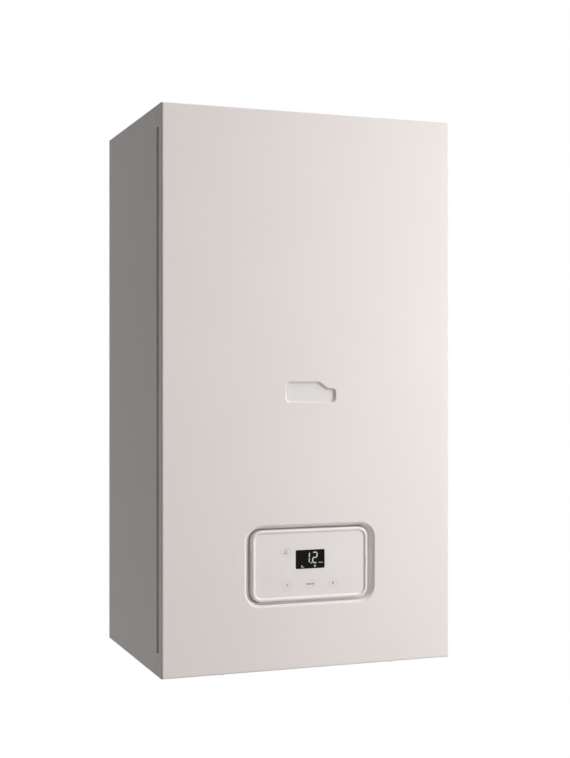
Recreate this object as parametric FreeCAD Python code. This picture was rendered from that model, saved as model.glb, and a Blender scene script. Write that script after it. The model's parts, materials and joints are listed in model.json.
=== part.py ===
import FreeCAD, Part
import math
import os
from FreeCAD import Vector as V

# Wall-hung gas boiler in millimetres.
# X runs to the right seen from the front, Y runs towards the wall, whose face is at y = 0,
# and Z runs up from the base.

# Casing
case_w = 410.0
case_h = 740.0
case_d = 300.0
sheet = 1.0
back_sheet = 1.2
fit = 0.2

# Pieces inside share the casing's depth, so their depths grow and shrink with it
depth_unit = case_d / 300.0

# Front cover, a pressed tray hung on the casing
cover_return = 26.0
cover_gap = 0.5
cover_edge_r = 2.2
notch_depth = 10.0
notch_low = 30.0
notch_high = 29.0

# Step in the panels behind the cover, ending in the flange that carries the seal
step_in = 8.0
step_forward = 14.5
seal_flange = 11.0
seal_squeeze_gap = 0.3

# Locating pins at the head of the cover, captive screws at its foot
pin_inset = 55.0
pin_drop = 42.0
pin_r = 3.0
pin_clear = 0.15
pin_l = 18.0
grommet_r = 7.0
grommet_neck_r = 5.0
grommet_lip = 2.0
screw_x = 120.0
screw_r = 2.0
screw_head_r = 4.5
screw_head_h = 2.6
screw_back = 14.0
lug_w = 24.0
lug_t = 1.5
nut_h = 3.0

# Control window in the cover and the fascia that fills it
window_z = 138.0
window_r = 22.0
window_bevel = 3.0
window_slope = 1.0
window_depth = 10.0
window_ledge_x = 4.5
window_ledge_z = 1.3
fascia_w = 166.0
fascia_h = 95.0
fascia_r = 14.0
fascia_gap = 1.5
fascia_set_back = 1.0
fascia_edge_r = 2.6
fascia_crest = 3.4
fascia_rim = 5.6
fascia_rim_drop = 2.0
fascia_skin = 3.0
fascia_l = 12.0
fascia_wall = 2.5
lcd_x = 0.0
lcd_dz = 6.7
lcd_w = 41.6
lcd_h = 25.2
key_r = 6.5
key_gap = 0.2
key_edge = 0.15
key_lip = 1.6
key_travel = 0.8
key_spread = 32.5
key_row_dz = -26.4
reset_dx = -34.8
reset_dz = 18.2

# Badge recess in the cover
badge_z = 367.5
badge_w = 72.5
badge_h = 29.0
badge_r = 7.0
badge_step = 9.0
badge_step_x = 12.5
badge_step_w = 12.0
badge_step_r = 5.0
badge_bend_r = 9.0
badge_slope = 3.0
badge_depth = 4.5
badge_t = 0.8

# Control box behind the fascia
ctrl_w = 240.0
ctrl_h = 132.0
ctrl_l = 52.0 * depth_unit
ctrl_wall = 2.5
ctrl_r = 8.0
lid_t = 3.0
lid_lap = 2.0
arm_t = 2.0
arm_w = 34.0
board_t = 1.6
board_stand = 6.0
board_margin = 10.0

# Wall bracket with two hooks, and the pocket of the back frame that hangs on it
bracket_w = 290.0
bracket_h = 40.0
bracket_t = 2.5
hook_inset = 49.0
hook_w = 30.0
hook_z = 679.0
hook_up = 11.0
hook_play = 2.0
wall_hole_r = 4.25
wall_hole_inset = 15.0
pocket_play = 20.0
pocket_rise = 22.0
pocket_r = 16.0
pocket_slope = 8.0
pocket_depth = 12.0
back_flange = 22.0

# Expansion vessel, two pressed shells welded at the rim
vessel_w = 330.0
vessel_h = 410.0
vessel_t = 62.0 * depth_unit
vessel_corner_r = 55.0
vessel_edge_r = 18.0
vessel_wall = 1.5
vessel_rim = 6.0
vessel_rim_t = 1.6
vessel_back = 22.0 * depth_unit
vessel_port_r = 7.0
vessel_port_l = 14.0
vessel_port_wall = 2.0
vessel_port_in = 30.0
vessel_port_inset = 10.0
vessel_z = 478.0

# Round heat exchanger lying along Y in front of the vessel
drum_z = 480.0
drum_r = 116.0
drum_l = 120.0 * depth_unit
drum_wall = 2.5
drum_gap = 6.0 * depth_unit
drum_flange = 12.0
drum_flange_t = 4.0
door_t = 10.0
door_bolts = 6
door_bolt_inset = 6.0
burner_r = 35.0
burner_l = 88.0
burner_flange = 9.0
coil_tube_r = 9.0
coil_turns = 4
coil_pitch = 21.0
coil_clear = 0.4
strap_h = 40.0
strap_t = 2.5
bar_span = 120.0
bar_foot = 30.0
bar_low = 60.0

# Electrodes through the burner door
electrode_radius = 56.0
electrode_angle = 52.0
electrode_r = 4.0
electrode_reach = 24.0
electrode_tail = 24.0
electrode_neck = 4.0
electrode_pin_r = 1.2
electrode_collar_r = 8.0
electrode_collar_t = 3.0

# Mixture manifold and fan
manifold_r = 16.0
manifold_wall = 1.5
manifold_clear = 4.0
manifold_flange_t = 4.0
fan_z = 268.0
fan_r = 50.0
fan_growth = 6.0
fan_outlet = 34.0
fan_wall = 3.0
fan_depth = 40.0 * depth_unit
fan_rise = 64.0
fan_motor_r = 38.0
fan_motor_l = 25.0 * depth_unit
impeller_r = 45.0
impeller_blades = 11
fan_shaft_r = 4.0
venturi_l = 54.0 * depth_unit
venturi_mouth_r = 31.0
venturi_throat_r = 17.0
venturi_wall = 3.0

# Gas valve
valve_w = 56.0
valve_l = 52.0 * depth_unit
valve_h = 74.0
valve_gap = 8.0
valve_port_r = 10.0
valve_port_l = 13.0
coil_h = 30.0

# Ignition transformer on the right side panel
spark_w = 36.0
spark_l = 36.0
spark_h = 50.0
spark_r = 4.0
spark_drop = 26.0
spark_y = -196.0 * depth_unit
spark_lead_r = 5.0
spark_lead_l = 10.0

# Flue
flue_r = 30.0
flue_wall = 1.5
flue_bend = 38.0
flue_back = 128.0 * depth_unit
flue_port_dz = -70.0
flue_side = 160.0
flue_run_z = 662.0
flue_slip = 0.3
socket_wall = 2.2
air_r = 50.0
air_wall = 1.5
adapter_r = 70.0
adapter_t = 3.0
adapter_rise = 23.0
adapter_drop = 38.0

# Connections through the base
union_y = -150.0 * depth_unit
union_pitch = 65.0
union_drop = 26.0
thread_l = 14.0
thread_big_r = 13.2
thread_small_r = 10.5
hex_h = 6.0
hole_clear = 1.0

# Water side
pipe_r = 9.0
pipe_wall = 1.0
tap_pipe_r = 7.5
pipe_bend = 18.0
block_r = 23.0
block_low = 20.0
block_h = 132.0
boss_r = 13.0
arm_r = 12.0
water_wall = 5.0
plate_w = 196.0
plate_h = 76.0
plate_l = 42.0 * depth_unit
plate_back = 44.0 * depth_unit
plate_low = 40.0
plate_port_dz = 24.0
plate_r = 18.0
plate_skin = 5.0
pump_x = 62.0
pump_z = 117.0
pump_r = 42.0
pump_l = 40.0 * depth_unit
pump_gap = 6.0 * depth_unit
pump_wall = 5.0
motor_r = 43.0
motor_l = 88.0 * depth_unit
rotor_r = 12.0
wheel_r = 31.0
actuator_w = 46.0
actuator_h = 44.0
actuator_gap = 14.0
spindle_r = 3.0
safety_z = 62.0
safety_l = 22.0
safety_r = 12.0
knob_r = 15.0
knob_l = 16.0
tap_x = 94.0
tap_pipe_z = 45.0
tap_r = 6.5
tap_wing = 13.0
siphon_x = -65.0
siphon_y = -198.0 * depth_unit
siphon_r = 24.0
siphon_top = 190.0
drain_r = 10.0
drain_drop = 16.0
drip_x = -30.0
drip_in = 24.0
drip_hose_r = 9.0
drip_hose_wall = 2.0
drip_hose_bend = 22.0
drip_slant = 14.0
gland_inset = 35.0
gland_y = -200.0 * depth_unit
gland_r = 10.0

# Planes and places worked out from the sizes above
half_w = case_w / 2
pin_x = half_w - pin_inset
gland_x = -half_w + gland_inset
hook_x = bracket_w / 2 - hook_inset
wall_hole_x = bracket_w / 2 - wall_hole_inset
pocket_w = bracket_w + 2 * pocket_play
pocket_h = bracket_h + 2 * pocket_rise
front_y = -case_d
cover_in_y = front_y + sheet
cover_rear_y = front_y + cover_return
panel_y = cover_rear_y + cover_gap
flange_y = panel_y - step_forward - sheet
side_in = half_w - sheet
step_x = half_w - step_in
step_z = case_h - step_in
pin_z = case_h - pin_drop
fascia_y = front_y + fascia_set_back
fascia_rear_y = fascia_y + fascia_l
window_in_x = window_bevel + window_slope + window_ledge_x + fascia_gap
window_in_z = window_bevel + window_slope + window_ledge_z + fascia_gap
window_w = fascia_w + 2 * window_in_x
window_h = fascia_h + 2 * window_in_z
lid_rear_y = fascia_rear_y + lid_t
ctrl_rear_y = lid_rear_y + ctrl_l
ctrl_low = window_z - ctrl_h / 2
lcd_z = window_z + lcd_dz
key_front_y = fascia_y + fascia_rim_drop
skin_rear_y = key_front_y + fascia_skin
vessel_rear_y = -vessel_back
vessel_front_y = vessel_rear_y - vessel_t
vessel_mid_y = vessel_rear_y - vessel_t / 2
vessel_low = vessel_z - vessel_h / 2
drum_rear_y = vessel_front_y - drum_gap
drum_front_y = drum_rear_y - drum_l
flange_r = drum_r + drum_flange
door_front_y = drum_front_y - door_t
manifold_y = door_front_y - manifold_clear - manifold_r
fan_x = fan_r + 3 * fan_growth - fan_outlet / 2
fan_front_y = manifold_y - fan_depth / 2
fan_rear_y = manifold_y + fan_depth / 2
fan_top = fan_z + fan_rise
venturi_rear_y = fan_rear_y + venturi_l
valve_x = fan_x + fan_r + fan_wall + valve_gap + valve_w / 2
valve_y = fan_rear_y + venturi_l / 2
valve_low = fan_z - 0.6 * valve_h
flue_y = -flue_back
flue_port_z = drum_z + flue_port_dz
drum_port_x = 70.0
pipe_y = -plate_back - plate_l - pump_gap - pump_l / 2
port_z = drum_z - drum_r - 2.0 + 10.0
plate_mid_y = -plate_back - plate_l / 2
plate_z = plate_low + plate_h / 2
block_x = 2 * union_pitch
block_top = block_low + block_h
pump_front_y = pipe_y - pump_l / 2
socket_r = flue_r + flue_slip


def box(x0, x1, y0, y1, z0, z1):
    return Part.makeBox(x1 - x0, y1 - y0, z1 - z0, V(x0, y0, z0))


def rod(r, start, end):
    a = V(*start)
    b = V(*end)
    return Part.makeCylinder(r, (b - a).Length, a, b - a)


def sleeve(r_out, r_in, start, end):
    return rod(r_out, start, end).cut(rod(r_in, start, end))


def join(*shapes):
    return shapes[0].fuse(list(shapes[1:])).removeSplitter()


def both_sides(shape):
    return Part.Compound([shape, shape.mirror(V(0, 0, 0), V(1, 0, 0))])


def rounded(w, h, r, y, cx=0.0, cz=0.0):
    # Rounded rectangle standing in the XZ plane
    a = w / 2 - r
    b = h / 2 - r
    k = r * math.sqrt(0.5)
    edges = []
    corners = [(a, b, 1, 1), (-a, b, -1, 1), (-a, -b, -1, -1), (a, -b, 1, -1)]
    ends = []
    for x, z, sx, sz in corners:
        first = V(cx + x + (sx * r if sx == sz else 0), y, cz + z + (0 if sx == sz else sz * r))
        last = V(cx + x + (0 if sx == sz else sx * r), y, cz + z + (sz * r if sx == sz else 0))
        middle = V(cx + x + sx * k, y, cz + z + sz * k)
        ends.append((first, middle, last))
    for i in range(4):
        first, middle, last = ends[i]
        edges.append(Part.Arc(first, middle, last).toShape())
        edges.append(Part.LineSegment(last, ends[(i + 1) % 4][0]).toShape())
    return Part.Wire(edges)


def slab(w, h, r, y0, y1, cx=0.0, cz=0.0):
    return Part.Face(rounded(w, h, r, y0, cx, cz)).extrude(V(0, y1 - y0, 0))


def loft(*wires):
    return Part.makeLoft(list(wires), True, True)


def cornered(points, radii, grow, y):
    # Outline in the XZ plane through rounded corners, every side moved out by the same amount
    count = len(points)
    ends = []
    for i in range(count):
        before = V(points[i][0] - points[i - 1][0], 0, points[i][1] - points[i - 1][1]).normalize()
        after = points[(i + 1) % count]
        after = V(after[0] - points[i][0], 0, after[1] - points[i][1]).normalize()
        out = V(before.z, 0, -before.x)
        out_after = V(after.z, 0, -after.x)
        corner = V(points[i][0], y, points[i][1]) + (out + out_after) * (grow / (1 + out.dot(out_after)))
        bulge = 1 if before.x * after.z > before.z * after.x else -1
        r = radii[i] + bulge * grow
        reach = r * math.tan(before.getAngle(after) / 2)
        centre = corner - before * reach - out * (bulge * r)
        middle = centre + (corner - centre).normalize() * r
        ends.append((corner - before * reach, middle, corner + after * reach))
    edges = []
    for i in range(count):
        edges.append(Part.Arc(*ends[i]).toShape())
        edges.append(Part.LineSegment(ends[i][2], ends[(i + 1) % count][0]).toShape())
    return Part.Wire(edges)


def dished(panel, outline, slope, depth, t, face_y):
    # Dish pressed into a sheet: a sloped wall of the sheet's own thickness runs down to a flat floor
    into = 1 if depth > 0 else -1
    spread = t * (math.hypot(slope, depth) - slope) / abs(depth)
    behind = loft(outline(spread, face_y + into * t), outline(spread - slope, face_y + depth + into * t))
    hollow = loft(outline(0, face_y), outline(-slope, face_y + depth))
    return panel.fuse(behind).cut(hollow)


def pressed(panel, w, h, r, slope, depth, t, face_y, cx, cz):
    def outline(grow, y):
        return rounded(w + 2 * grow, h + 2 * grow, r + grow, y, cx, cz)

    return dished(panel, outline, slope, depth, t, face_y)


def folded(line, t, turn, place, run):
    # Sheet of thickness t laid to one side of an outer line of folds, drawn out along run
    inner = []
    count = len(line)
    for i in range(count):
        normals = []
        for j in (i - 1, i):
            if 0 <= j < count - 1:
                du = line[j + 1][0] - line[j][0]
                dv = line[j + 1][1] - line[j][1]
                length = math.hypot(du, dv)
                normals.append((-turn * dv / length, turn * du / length))
        if len(normals) == 1:
            normals = normals * 2
        nu = normals[0][0] + normals[1][0]
        nv = normals[0][1] + normals[1][1]
        scale = 2 * t / (nu * nu + nv * nv)
        inner.append((line[i][0] + nu * scale, line[i][1] + nv * scale))
    points = [place(*p) for p in list(line) + inner[::-1]]
    return Part.Face(Part.makePolygon(points + points[:1])).extrude(run)


def edges_along(shape, axis):
    picked = []
    for edge in shape.Edges:
        if isinstance(edge.Curve, Part.Line):
            d = edge.tangentAt(edge.FirstParameter)
            if abs(abs(d.dot(axis)) - 1) < 1e-6:
                picked.append(edge)
    return picked


def edges_in_plane(shape, axis, level):
    picked = []
    for edge in shape.Edges:
        b = edge.BoundBox
        low = V(b.XMin, b.YMin, b.ZMin).dot(axis)
        high = V(b.XMax, b.YMax, b.ZMax).dot(axis)
        if abs(low - level) < 1e-4 and abs(high - level) < 1e-4:
            picked.append(edge)
    return picked


def path(points, bend):
    # Straight runs joined by tangent arcs
    marks = [V(*p) for p in points]
    edges = []
    last = marks[0]
    for before, corner, after in zip(marks, marks[1:], marks[2:]):
        u = (before - corner).normalize()
        w = (after - corner).normalize()
        half = u.getAngle(w) / 2
        start = corner + u * (bend / math.tan(half))
        end = corner + w * (bend / math.tan(half))
        middle = corner + (u + w).normalize() * (bend / math.sin(half) - bend)
        edges.append(Part.LineSegment(last, start).toShape())
        edges.append(Part.Arc(start, middle, end).toShape())
        last = end
    edges.append(Part.LineSegment(last, marks[-1]).toShape())
    return Part.Wire(edges)


def swept(points, bend, r):
    start = V(*points[0])
    ring = Part.Wire([Part.Circle(start, V(*points[1]) - start, r).toShape()])
    return path(points, bend).makePipeShell([ring], True, False)


def pipe(points, bend, r, wall):
    return swept(points, bend, r).cut(swept(points, bend, r - wall))


def turned(profile, foot, axis):
    # Closed outline of (radius, height) pairs turned about an axis through foot
    up = V(*axis)
    side = V(0, 0, 1) if abs(up.z) < 0.5 else V(1, 0, 0)
    base = V(*foot)
    points = [base + side * r + up * h for r, h in profile]
    return Part.Face(Part.makePolygon(points + points[:1])).revolve(base, up, 360)


def hexagon(flats, z0, z1, x, y):
    r = flats / math.sqrt(3)
    points = [V(x + r * math.cos(i * math.pi / 3), y + r * math.sin(i * math.pi / 3), z0) for i in range(7)]
    return Part.Face(Part.makePolygon(points)).extrude(V(0, 0, z1 - z0))


def on_xy(z):
    return lambda u, v: V(u, v, z)


def on_yz(x):
    return lambda u, v: V(x, u, v)


nodes = {}


# Casing panels

def side_panel():
    line = [(half_w, 0), (half_w, panel_y), (step_x, panel_y), (step_x, flange_y),
            (step_x - seal_flange, flange_y)]
    low = step_in + sheet + fit
    rail = folded(line, sheet, -1, on_xy(low), V(0, 0, case_h - 2 * low))
    wall = box(side_in, half_w, panel_y, 0, 0, case_h)
    for z in (0, case_h - step_in - seal_flange - fit):
        rail = rail.cut(box(step_x - 2 * seal_flange, step_x - sheet, flange_y - 1, flange_y + sheet,
                            z, z + step_in + seal_flange + fit))
    panel = join(wall, rail)
    corner = [e for e in edges_along(panel, V(0, 0, 1))
              if abs(e.Vertexes[0].X - half_w) < 1e-4 and abs(e.Vertexes[0].Y - panel_y) < 1e-4]
    return panel.makeFillet(0.8 * sheet, corner)


def level_panel():
    line = [(-back_sheet - fit, case_h), (panel_y, case_h), (panel_y, step_z), (flange_y, step_z),
            (flange_y, step_z - seal_flange)]
    reach = step_x - sheet - fit
    rail = folded(line, sheet, 1, on_yz(-reach), V(2 * reach, 0, 0))
    wall = box(-side_in + fit, side_in - fit, panel_y, -back_sheet - fit, case_h - sheet, case_h)
    return join(wall, rail)


def top_panel():
    panel = level_panel()
    for x in (-pin_x, pin_x):
        tab = slab(3 * grommet_r, pin_drop, grommet_r, flange_y, flange_y + sheet, x,
                   pin_z + pin_drop / 2 - 12)
        panel = panel.fuse(tab)
        panel = panel.cut(rod(grommet_neck_r, (x, flange_y - 1, pin_z), (x, flange_y + 2, pin_z)))
    hole = rod(air_r - air_wall, (0, flue_y, case_h - 5), (0, flue_y, case_h + 5))
    return panel.cut(hole).removeSplitter()


def base_plate():
    plate = level_panel().mirror(V(0, 0, case_h / 2), V(0, 0, 1))
    for x in (-screw_x, screw_x):
        lug = box(x - lug_w / 2, x + lug_w / 2, front_y + 6, panel_y, sheet + 0.3, sheet + 0.3 + lug_t)
        slot_y = front_y + screw_back
        slot = rod(screw_r + 0.6, (x, slot_y, 0), (x, slot_y, 6))
        slot = slot.fuse(box(x - screw_r - 0.6, x + screw_r + 0.6, front_y, slot_y, 0, 6))
        plate = plate.fuse(lug.cut(slot))
    for x, r in union_holes():
        plate = plate.cut(rod(r, (x, union_y, -3), (x, union_y, 3)))
    plate = plate.cut(rod(tap_r + hole_clear, (tap_x, union_y, -3), (tap_x, union_y, 3)))
    plate = plate.cut(rod(tap_pipe_r + hole_clear, (block_x, discharge_y(), -3), (block_x, discharge_y(), 3)))
    plate = plate.cut(rod(drain_r + hole_clear, (siphon_x, siphon_y, -3), (siphon_x, siphon_y, 3)))
    plate = plate.cut(rod(gland_r, (gland_x, gland_y, -3), (gland_x, gland_y, 3)))
    return plate.removeSplitter()


def union_holes():
    big = thread_big_r + hole_clear
    small = thread_small_r + hole_clear
    return [(-2 * union_pitch, big), (-union_pitch, small), (0.0, big), (union_pitch, small),
            (2 * union_pitch, big)]


def discharge_y():
    return union_y - block_r - safety_l / 2


def back_frame():
    edge = side_in - fit
    line = [(-edge, -back_flange), (-edge, 0), (edge, 0), (edge, -back_flange)]
    low = 2 * sheet
    frame = folded(line, back_sheet, -1, on_xy(low), V(0, 0, case_h - 2 * low))
    frame = frame.fuse(box(-edge, edge, -back_sheet, 0, 0, case_h))
    frame = pressed(frame, pocket_w, pocket_h, pocket_r, pocket_slope, -pocket_depth, back_sheet, 0, 0,
                    hook_z)
    for x in (-hook_x, hook_x):
        top = hook_z + 0.1
        frame = frame.cut(box(x - hook_w / 2 - 6, x + hook_w / 2 + 6, -pocket_depth - 5, -pocket_depth + 5,
                              top - hook_up - bracket_t - 5, top))
    return frame.removeSplitter()


def wall_bracket():
    plate = slab(bracket_w, bracket_h, 4, -bracket_t, 0, 0, hook_z - 4)
    reach = -(pocket_depth + back_sheet + hook_play + bracket_t)
    line = [(-bracket_t / 2, hook_z), (reach + bracket_t, hook_z), (reach + bracket_t, hook_z + hook_up)]
    for x in (-hook_x, hook_x):
        hook = folded(line, bracket_t, 1, on_yz(x - hook_w / 2), V(hook_w, 0, 0))
        plate = plate.fuse(hook)
    for x in (-wall_hole_x, wall_hole_x):
        plate = plate.cut(rod(wall_hole_r, (x, -5, hook_z - 8), (x, 1, hook_z - 8)))
    return plate.removeSplitter()


# Front cover

def front_cover():
    outer = box(-half_w, half_w, front_y, cover_rear_y, 0, case_h)
    outer = outer.makeFillet(cover_edge_r, edges_in_plane(outer, V(0, 1, 0), front_y))
    inner = box(-side_in, side_in, cover_in_y, cover_rear_y + 5, sheet, case_h - sheet)
    inner = inner.makeFillet(cover_edge_r - sheet, edges_in_plane(inner, V(0, 1, 0), cover_in_y))
    cover = outer.cut(inner)
    cover = pressed(cover, window_w, window_h, window_r, window_bevel, window_bevel, sheet, front_y, 0,
                    window_z)
    throat = 2 * window_bevel
    cover = pressed(cover, window_w - throat, window_h - throat, window_r - window_bevel, window_slope,
                    window_depth - window_bevel, sheet, front_y + window_bevel, 0, window_z)
    lip = [e for e in edges_in_plane(cover, V(0, 1, 0), front_y) if e.BoundBox.ZMin < badge_z - badge_h]
    lip = [e for e in lip if e.BoundBox.ZMin > window_z - window_h and e.BoundBox.ZMax < window_z + window_h]
    cover = cover.makeFillet(0.8 * sheet, lip)
    opening = slab(fascia_w + 2 * fascia_gap, fascia_h + 2 * fascia_gap, fascia_r + fascia_gap, front_y - 1,
                   front_y + window_depth + 5, 0, window_z)
    cover = cover.cut(opening)
    cover = dished(cover, badge_outline, badge_slope, badge_depth, sheet, front_y)
    for x in (-half_w, half_w):
        cover = cover.cut(box(x - 1.5 * sheet, x + 1.5 * sheet, cover_rear_y - notch_depth, cover_rear_y + 1,
                              notch_low, case_h - notch_high))
    for x in (-screw_x, screw_x):
        y = front_y + screw_back
        cover = cover.cut(rod(screw_r + 0.2, (x, y, -1), (x, y, 2)))
    return cover.removeSplitter()


def cover_seal():
    w = 2 * step_x
    h = case_h - 2 * step_in
    ring = slab(w, h, 6, cover_in_y + seal_squeeze_gap, flange_y, 0, case_h / 2)
    inside = slab(w - 2 * seal_flange + 2, h - 2 * seal_flange + 2, 3, front_y, flange_y + 1, 0, case_h / 2)
    return ring.cut(inside)


def locating_pins():
    tip = 2.0
    profile = [(0, 0), (2.2 * pin_r, 0), (2.2 * pin_r, 1.5), (pin_r, 2.2), (pin_r, pin_l - tip),
               (0.5 * pin_r, pin_l), (0, pin_l)]
    return both_sides(turned(profile, (pin_x, cover_in_y, pin_z), (0, 1, 0)))


def pin_grommets():
    bore = pin_r + pin_clear
    neck = grommet_neck_r - 0.05
    profile = [(bore, -grommet_lip), (grommet_r - 0.8, -grommet_lip), (grommet_r, -grommet_lip + 0.8),
               (grommet_r, 0), (neck, 0), (neck, sheet), (grommet_r, sheet),
               (grommet_r - 1.2, sheet + grommet_lip),
               (bore, sheet + grommet_lip)]
    return both_sides(turned(profile, (pin_x, flange_y, pin_z), (0, 1, 0)))


def cover_screws():
    y = front_y + screw_back
    end = sheet + 0.3 + lug_t + 0.2 + nut_h + 0.6
    profile = [(0, -screw_head_h), (screw_head_r - 0.8, -screw_head_h), (screw_head_r, -screw_head_h + 0.8),
               (screw_head_r, 0), (screw_r, 0), (screw_r, end), (0, end)]
    screw = turned(profile, (screw_x, y, 0), (0, 0, 1))
    slot = box(screw_x - 0.6, screw_x + 0.6, y - screw_head_r, y + screw_head_r, -screw_head_h - 1,
               -screw_head_h + 1)
    return both_sides(screw.cut(slot))


def cover_screw_nuts():
    y = front_y + screw_back
    low = sheet + 0.3 + lug_t + 0.2
    nut = hexagon(7.0, low, low + nut_h, screw_x, y)
    return both_sides(nut.cut(rod(screw_r + 0.02, (screw_x, y, low - 1), (screw_x, y, low + nut_h + 1))))


def badge_outline(grow, y):
    # Tab shape: the upper edge steps down before the right-hand end
    left = -badge_w / 2
    right = badge_w / 2
    low = badge_z - badge_h / 2
    high = badge_z + badge_h / 2
    step_end = badge_step_x + badge_step_w
    points = [(left, low), (right, low), (right, high - badge_step), (step_end, high - badge_step),
              (badge_step_x, high), (left, high)]
    radii = [badge_r, badge_r, badge_step_r, badge_bend_r, badge_bend_r, badge_r]
    return cornered(points, radii, grow, y)


def badge_plate():
    face = Part.Face(badge_outline(-badge_slope - 1.0, front_y + badge_depth - badge_t))
    plate = face.extrude(V(0, badge_t, 0))
    rim = edges_in_plane(plate, V(0, 1, 0), front_y + badge_depth - badge_t)
    return plate.makeFillet(0.3 * badge_t, rim)


# Control unit

def key_places():
    row = window_z + key_row_dz
    return {"key_reset": (reset_dx, window_z + reset_dz), "key_left": (-key_spread, row),
            "key_mode": (0.0, row), "key_right": (key_spread, row)}


def fascia():
    body = slab(fascia_w, fascia_h, fascia_r, fascia_y, fascia_rear_y, 0, window_z)
    body = body.makeFillet(fascia_edge_r, edges_in_plane(body, V(0, 1, 0), fascia_y))
    dish = loft(rounded(fascia_w - 2 * fascia_crest, fascia_h - 2 * fascia_crest, fascia_r - fascia_crest,
                        fascia_y, 0, window_z),
                rounded(fascia_w - 2 * fascia_rim, fascia_h - 2 * fascia_rim, fascia_r - fascia_rim,
                        key_front_y, 0, window_z))
    body = body.cut(dish)
    hollow = slab(fascia_w - 2 * fascia_wall, fascia_h - 2 * fascia_wall, fascia_r - fascia_wall,
                  skin_rear_y, fascia_rear_y + 1, 0, window_z)
    body = body.cut(hollow)
    body = body.cut(slab(lcd_w, lcd_h, 1.6, front_y - 2, skin_rear_y + 1, lcd_x, lcd_z))
    for x, z in key_places().values():
        body = body.cut(rod(key_r + key_gap, (x, front_y - 2, z), (x, skin_rear_y + 1, z)))
    return body.removeSplitter()


def key(x, z):
    lip_y = fascia_skin + 0.2
    stem_y = lip_y + 1.0 + 1.4
    profile = [(0, 0), (key_r - key_edge, 0), (key_r, key_edge), (key_r, lip_y), (key_r + key_lip, lip_y),
               (key_r + key_lip, lip_y + 1.0), (2.2, lip_y + 1.0), (2.2, stem_y), (0, stem_y)]
    return turned(profile, (x, key_front_y, z), (0, 1, 0))


def switch_top_y():
    return key_front_y + fascia_skin + 0.2 + 1.0 + 1.4 + key_travel + 0.1


def display_board():
    rear = fascia_rear_y
    inset = 2 * fascia_wall + 4
    board = slab(fascia_w - inset, fascia_h - inset, fascia_r - inset / 2, rear - board_t, rear, 0, window_z)
    module = slab(lcd_w + 5, lcd_h + 5, 1.5, skin_rear_y + 0.1, rear - board_t + 0.5, lcd_x, lcd_z)
    board = board.fuse(module)
    for x, z in key_places().values():
        board = board.fuse(box(x - 3, x + 3, switch_top_y() + 0.8, rear - board_t, z - 3, z + 3))
        board = board.fuse(rod(1.7, (x, switch_top_y(), z), (x, rear - board_t, z)))
    return board.removeSplitter()


def display_window():
    pane = slab(lcd_w - 0.4, lcd_h - 0.4, 1.4, key_front_y + 0.2, skin_rear_y + 0.1, lcd_x, lcd_z)
    return pane


def control_box():
    z = window_z
    tray = slab(ctrl_w, ctrl_h, ctrl_r, lid_rear_y, ctrl_rear_y, 0, z)
    tray = tray.makeFillet(4.0, edges_in_plane(tray, V(0, 1, 0), ctrl_rear_y))
    hollow = slab(ctrl_w - 2 * ctrl_wall, ctrl_h - 2 * ctrl_wall, ctrl_r - ctrl_wall, lid_rear_y - 1,
                  ctrl_rear_y - ctrl_wall, 0, z)
    tray = tray.cut(hollow)
    for x in (-ctrl_w / 2 + 16, ctrl_w / 2 - 16):
        for dz in (-ctrl_h / 2 + 14, ctrl_h / 2 - 14):
            tray = tray.fuse(rod(3.5, (x, ctrl_rear_y - ctrl_wall - board_stand, z + dz),
                                 (x, ctrl_rear_y - 1, z + dz)))
    return tray.removeSplitter()


def control_box_lid():
    plate = slab(ctrl_w + 2 * lid_lap, ctrl_h + 2 * lid_lap, ctrl_r + lid_lap, fascia_rear_y, lid_rear_y,
                 0, window_z)
    plate = plate.makeFillet(1.2, edges_in_plane(plate, V(0, 1, 0), fascia_rear_y))
    return plate.cut(slab(fascia_w - 30, fascia_h - 30, 6, fascia_rear_y - 1, lid_rear_y + 1, 0, window_z))


def control_box_arms():
    x = ctrl_w / 2 + fit
    y = ctrl_rear_y - 1 - arm_w / 2
    line = [(x + 22, sheet), (x, sheet), (x, ctrl_low + 40)]
    arm = folded(line, arm_t, -1, lambda u, v: V(u, y - arm_w / 2, v), V(0, arm_w, 0))
    top = edges_along(arm, V(1, 0, 0))
    top = [e for e in top if abs(e.Vertexes[0].Z - ctrl_low - 40) < 1e-4]
    return both_sides(arm.makeFillet(12.0, top))


def main_board():
    rear = ctrl_rear_y - ctrl_wall - board_stand
    face = rear - board_t
    w = ctrl_w - 2 * board_margin
    h = ctrl_h - 2 * board_margin + 4
    board = slab(w, h, 3, face, rear, 0, window_z)
    deep = face - lid_rear_y
    # Blocks as shares of the board: centre, width, height, and share of the depth of the box
    parts = [(-0.36, 0.26, 0.15, 0.26, 0.60), (-0.19, 0.29, 0.08, 0.21, 0.40),
             (-0.09, 0.29, 0.08, 0.21, 0.40),
             (0.01, 0.29, 0.08, 0.21, 0.40), (0.27, 0.28, 0.14, 0.21, 0.25), (-0.32, -0.07, 0.09, 0.17, 0.55),
             (-0.09, -0.05, 0.12, 0.22, 0.10), (0.18, -0.05, 0.07, 0.14, 0.50)]
    for i in range(6):
        parts.append((-0.385 + 0.154 * i, -0.41, 0.118, 0.09, 0.30))
    for u, v, pw, ph, pl in parts:
        x = u * w
        z = window_z + v * h
        board = board.fuse(box(x - pw * w / 2, x + pw * w / 2, face - pl * deep, face, z - ph * h / 2,
                               z + ph * h / 2))
    for u in (0.345, 0.42):
        board = board.fuse(rod(0.06 * h, (u * w, face - 0.55 * deep, window_z), (u * w, face, window_z)))
    return board.removeSplitter()


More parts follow.
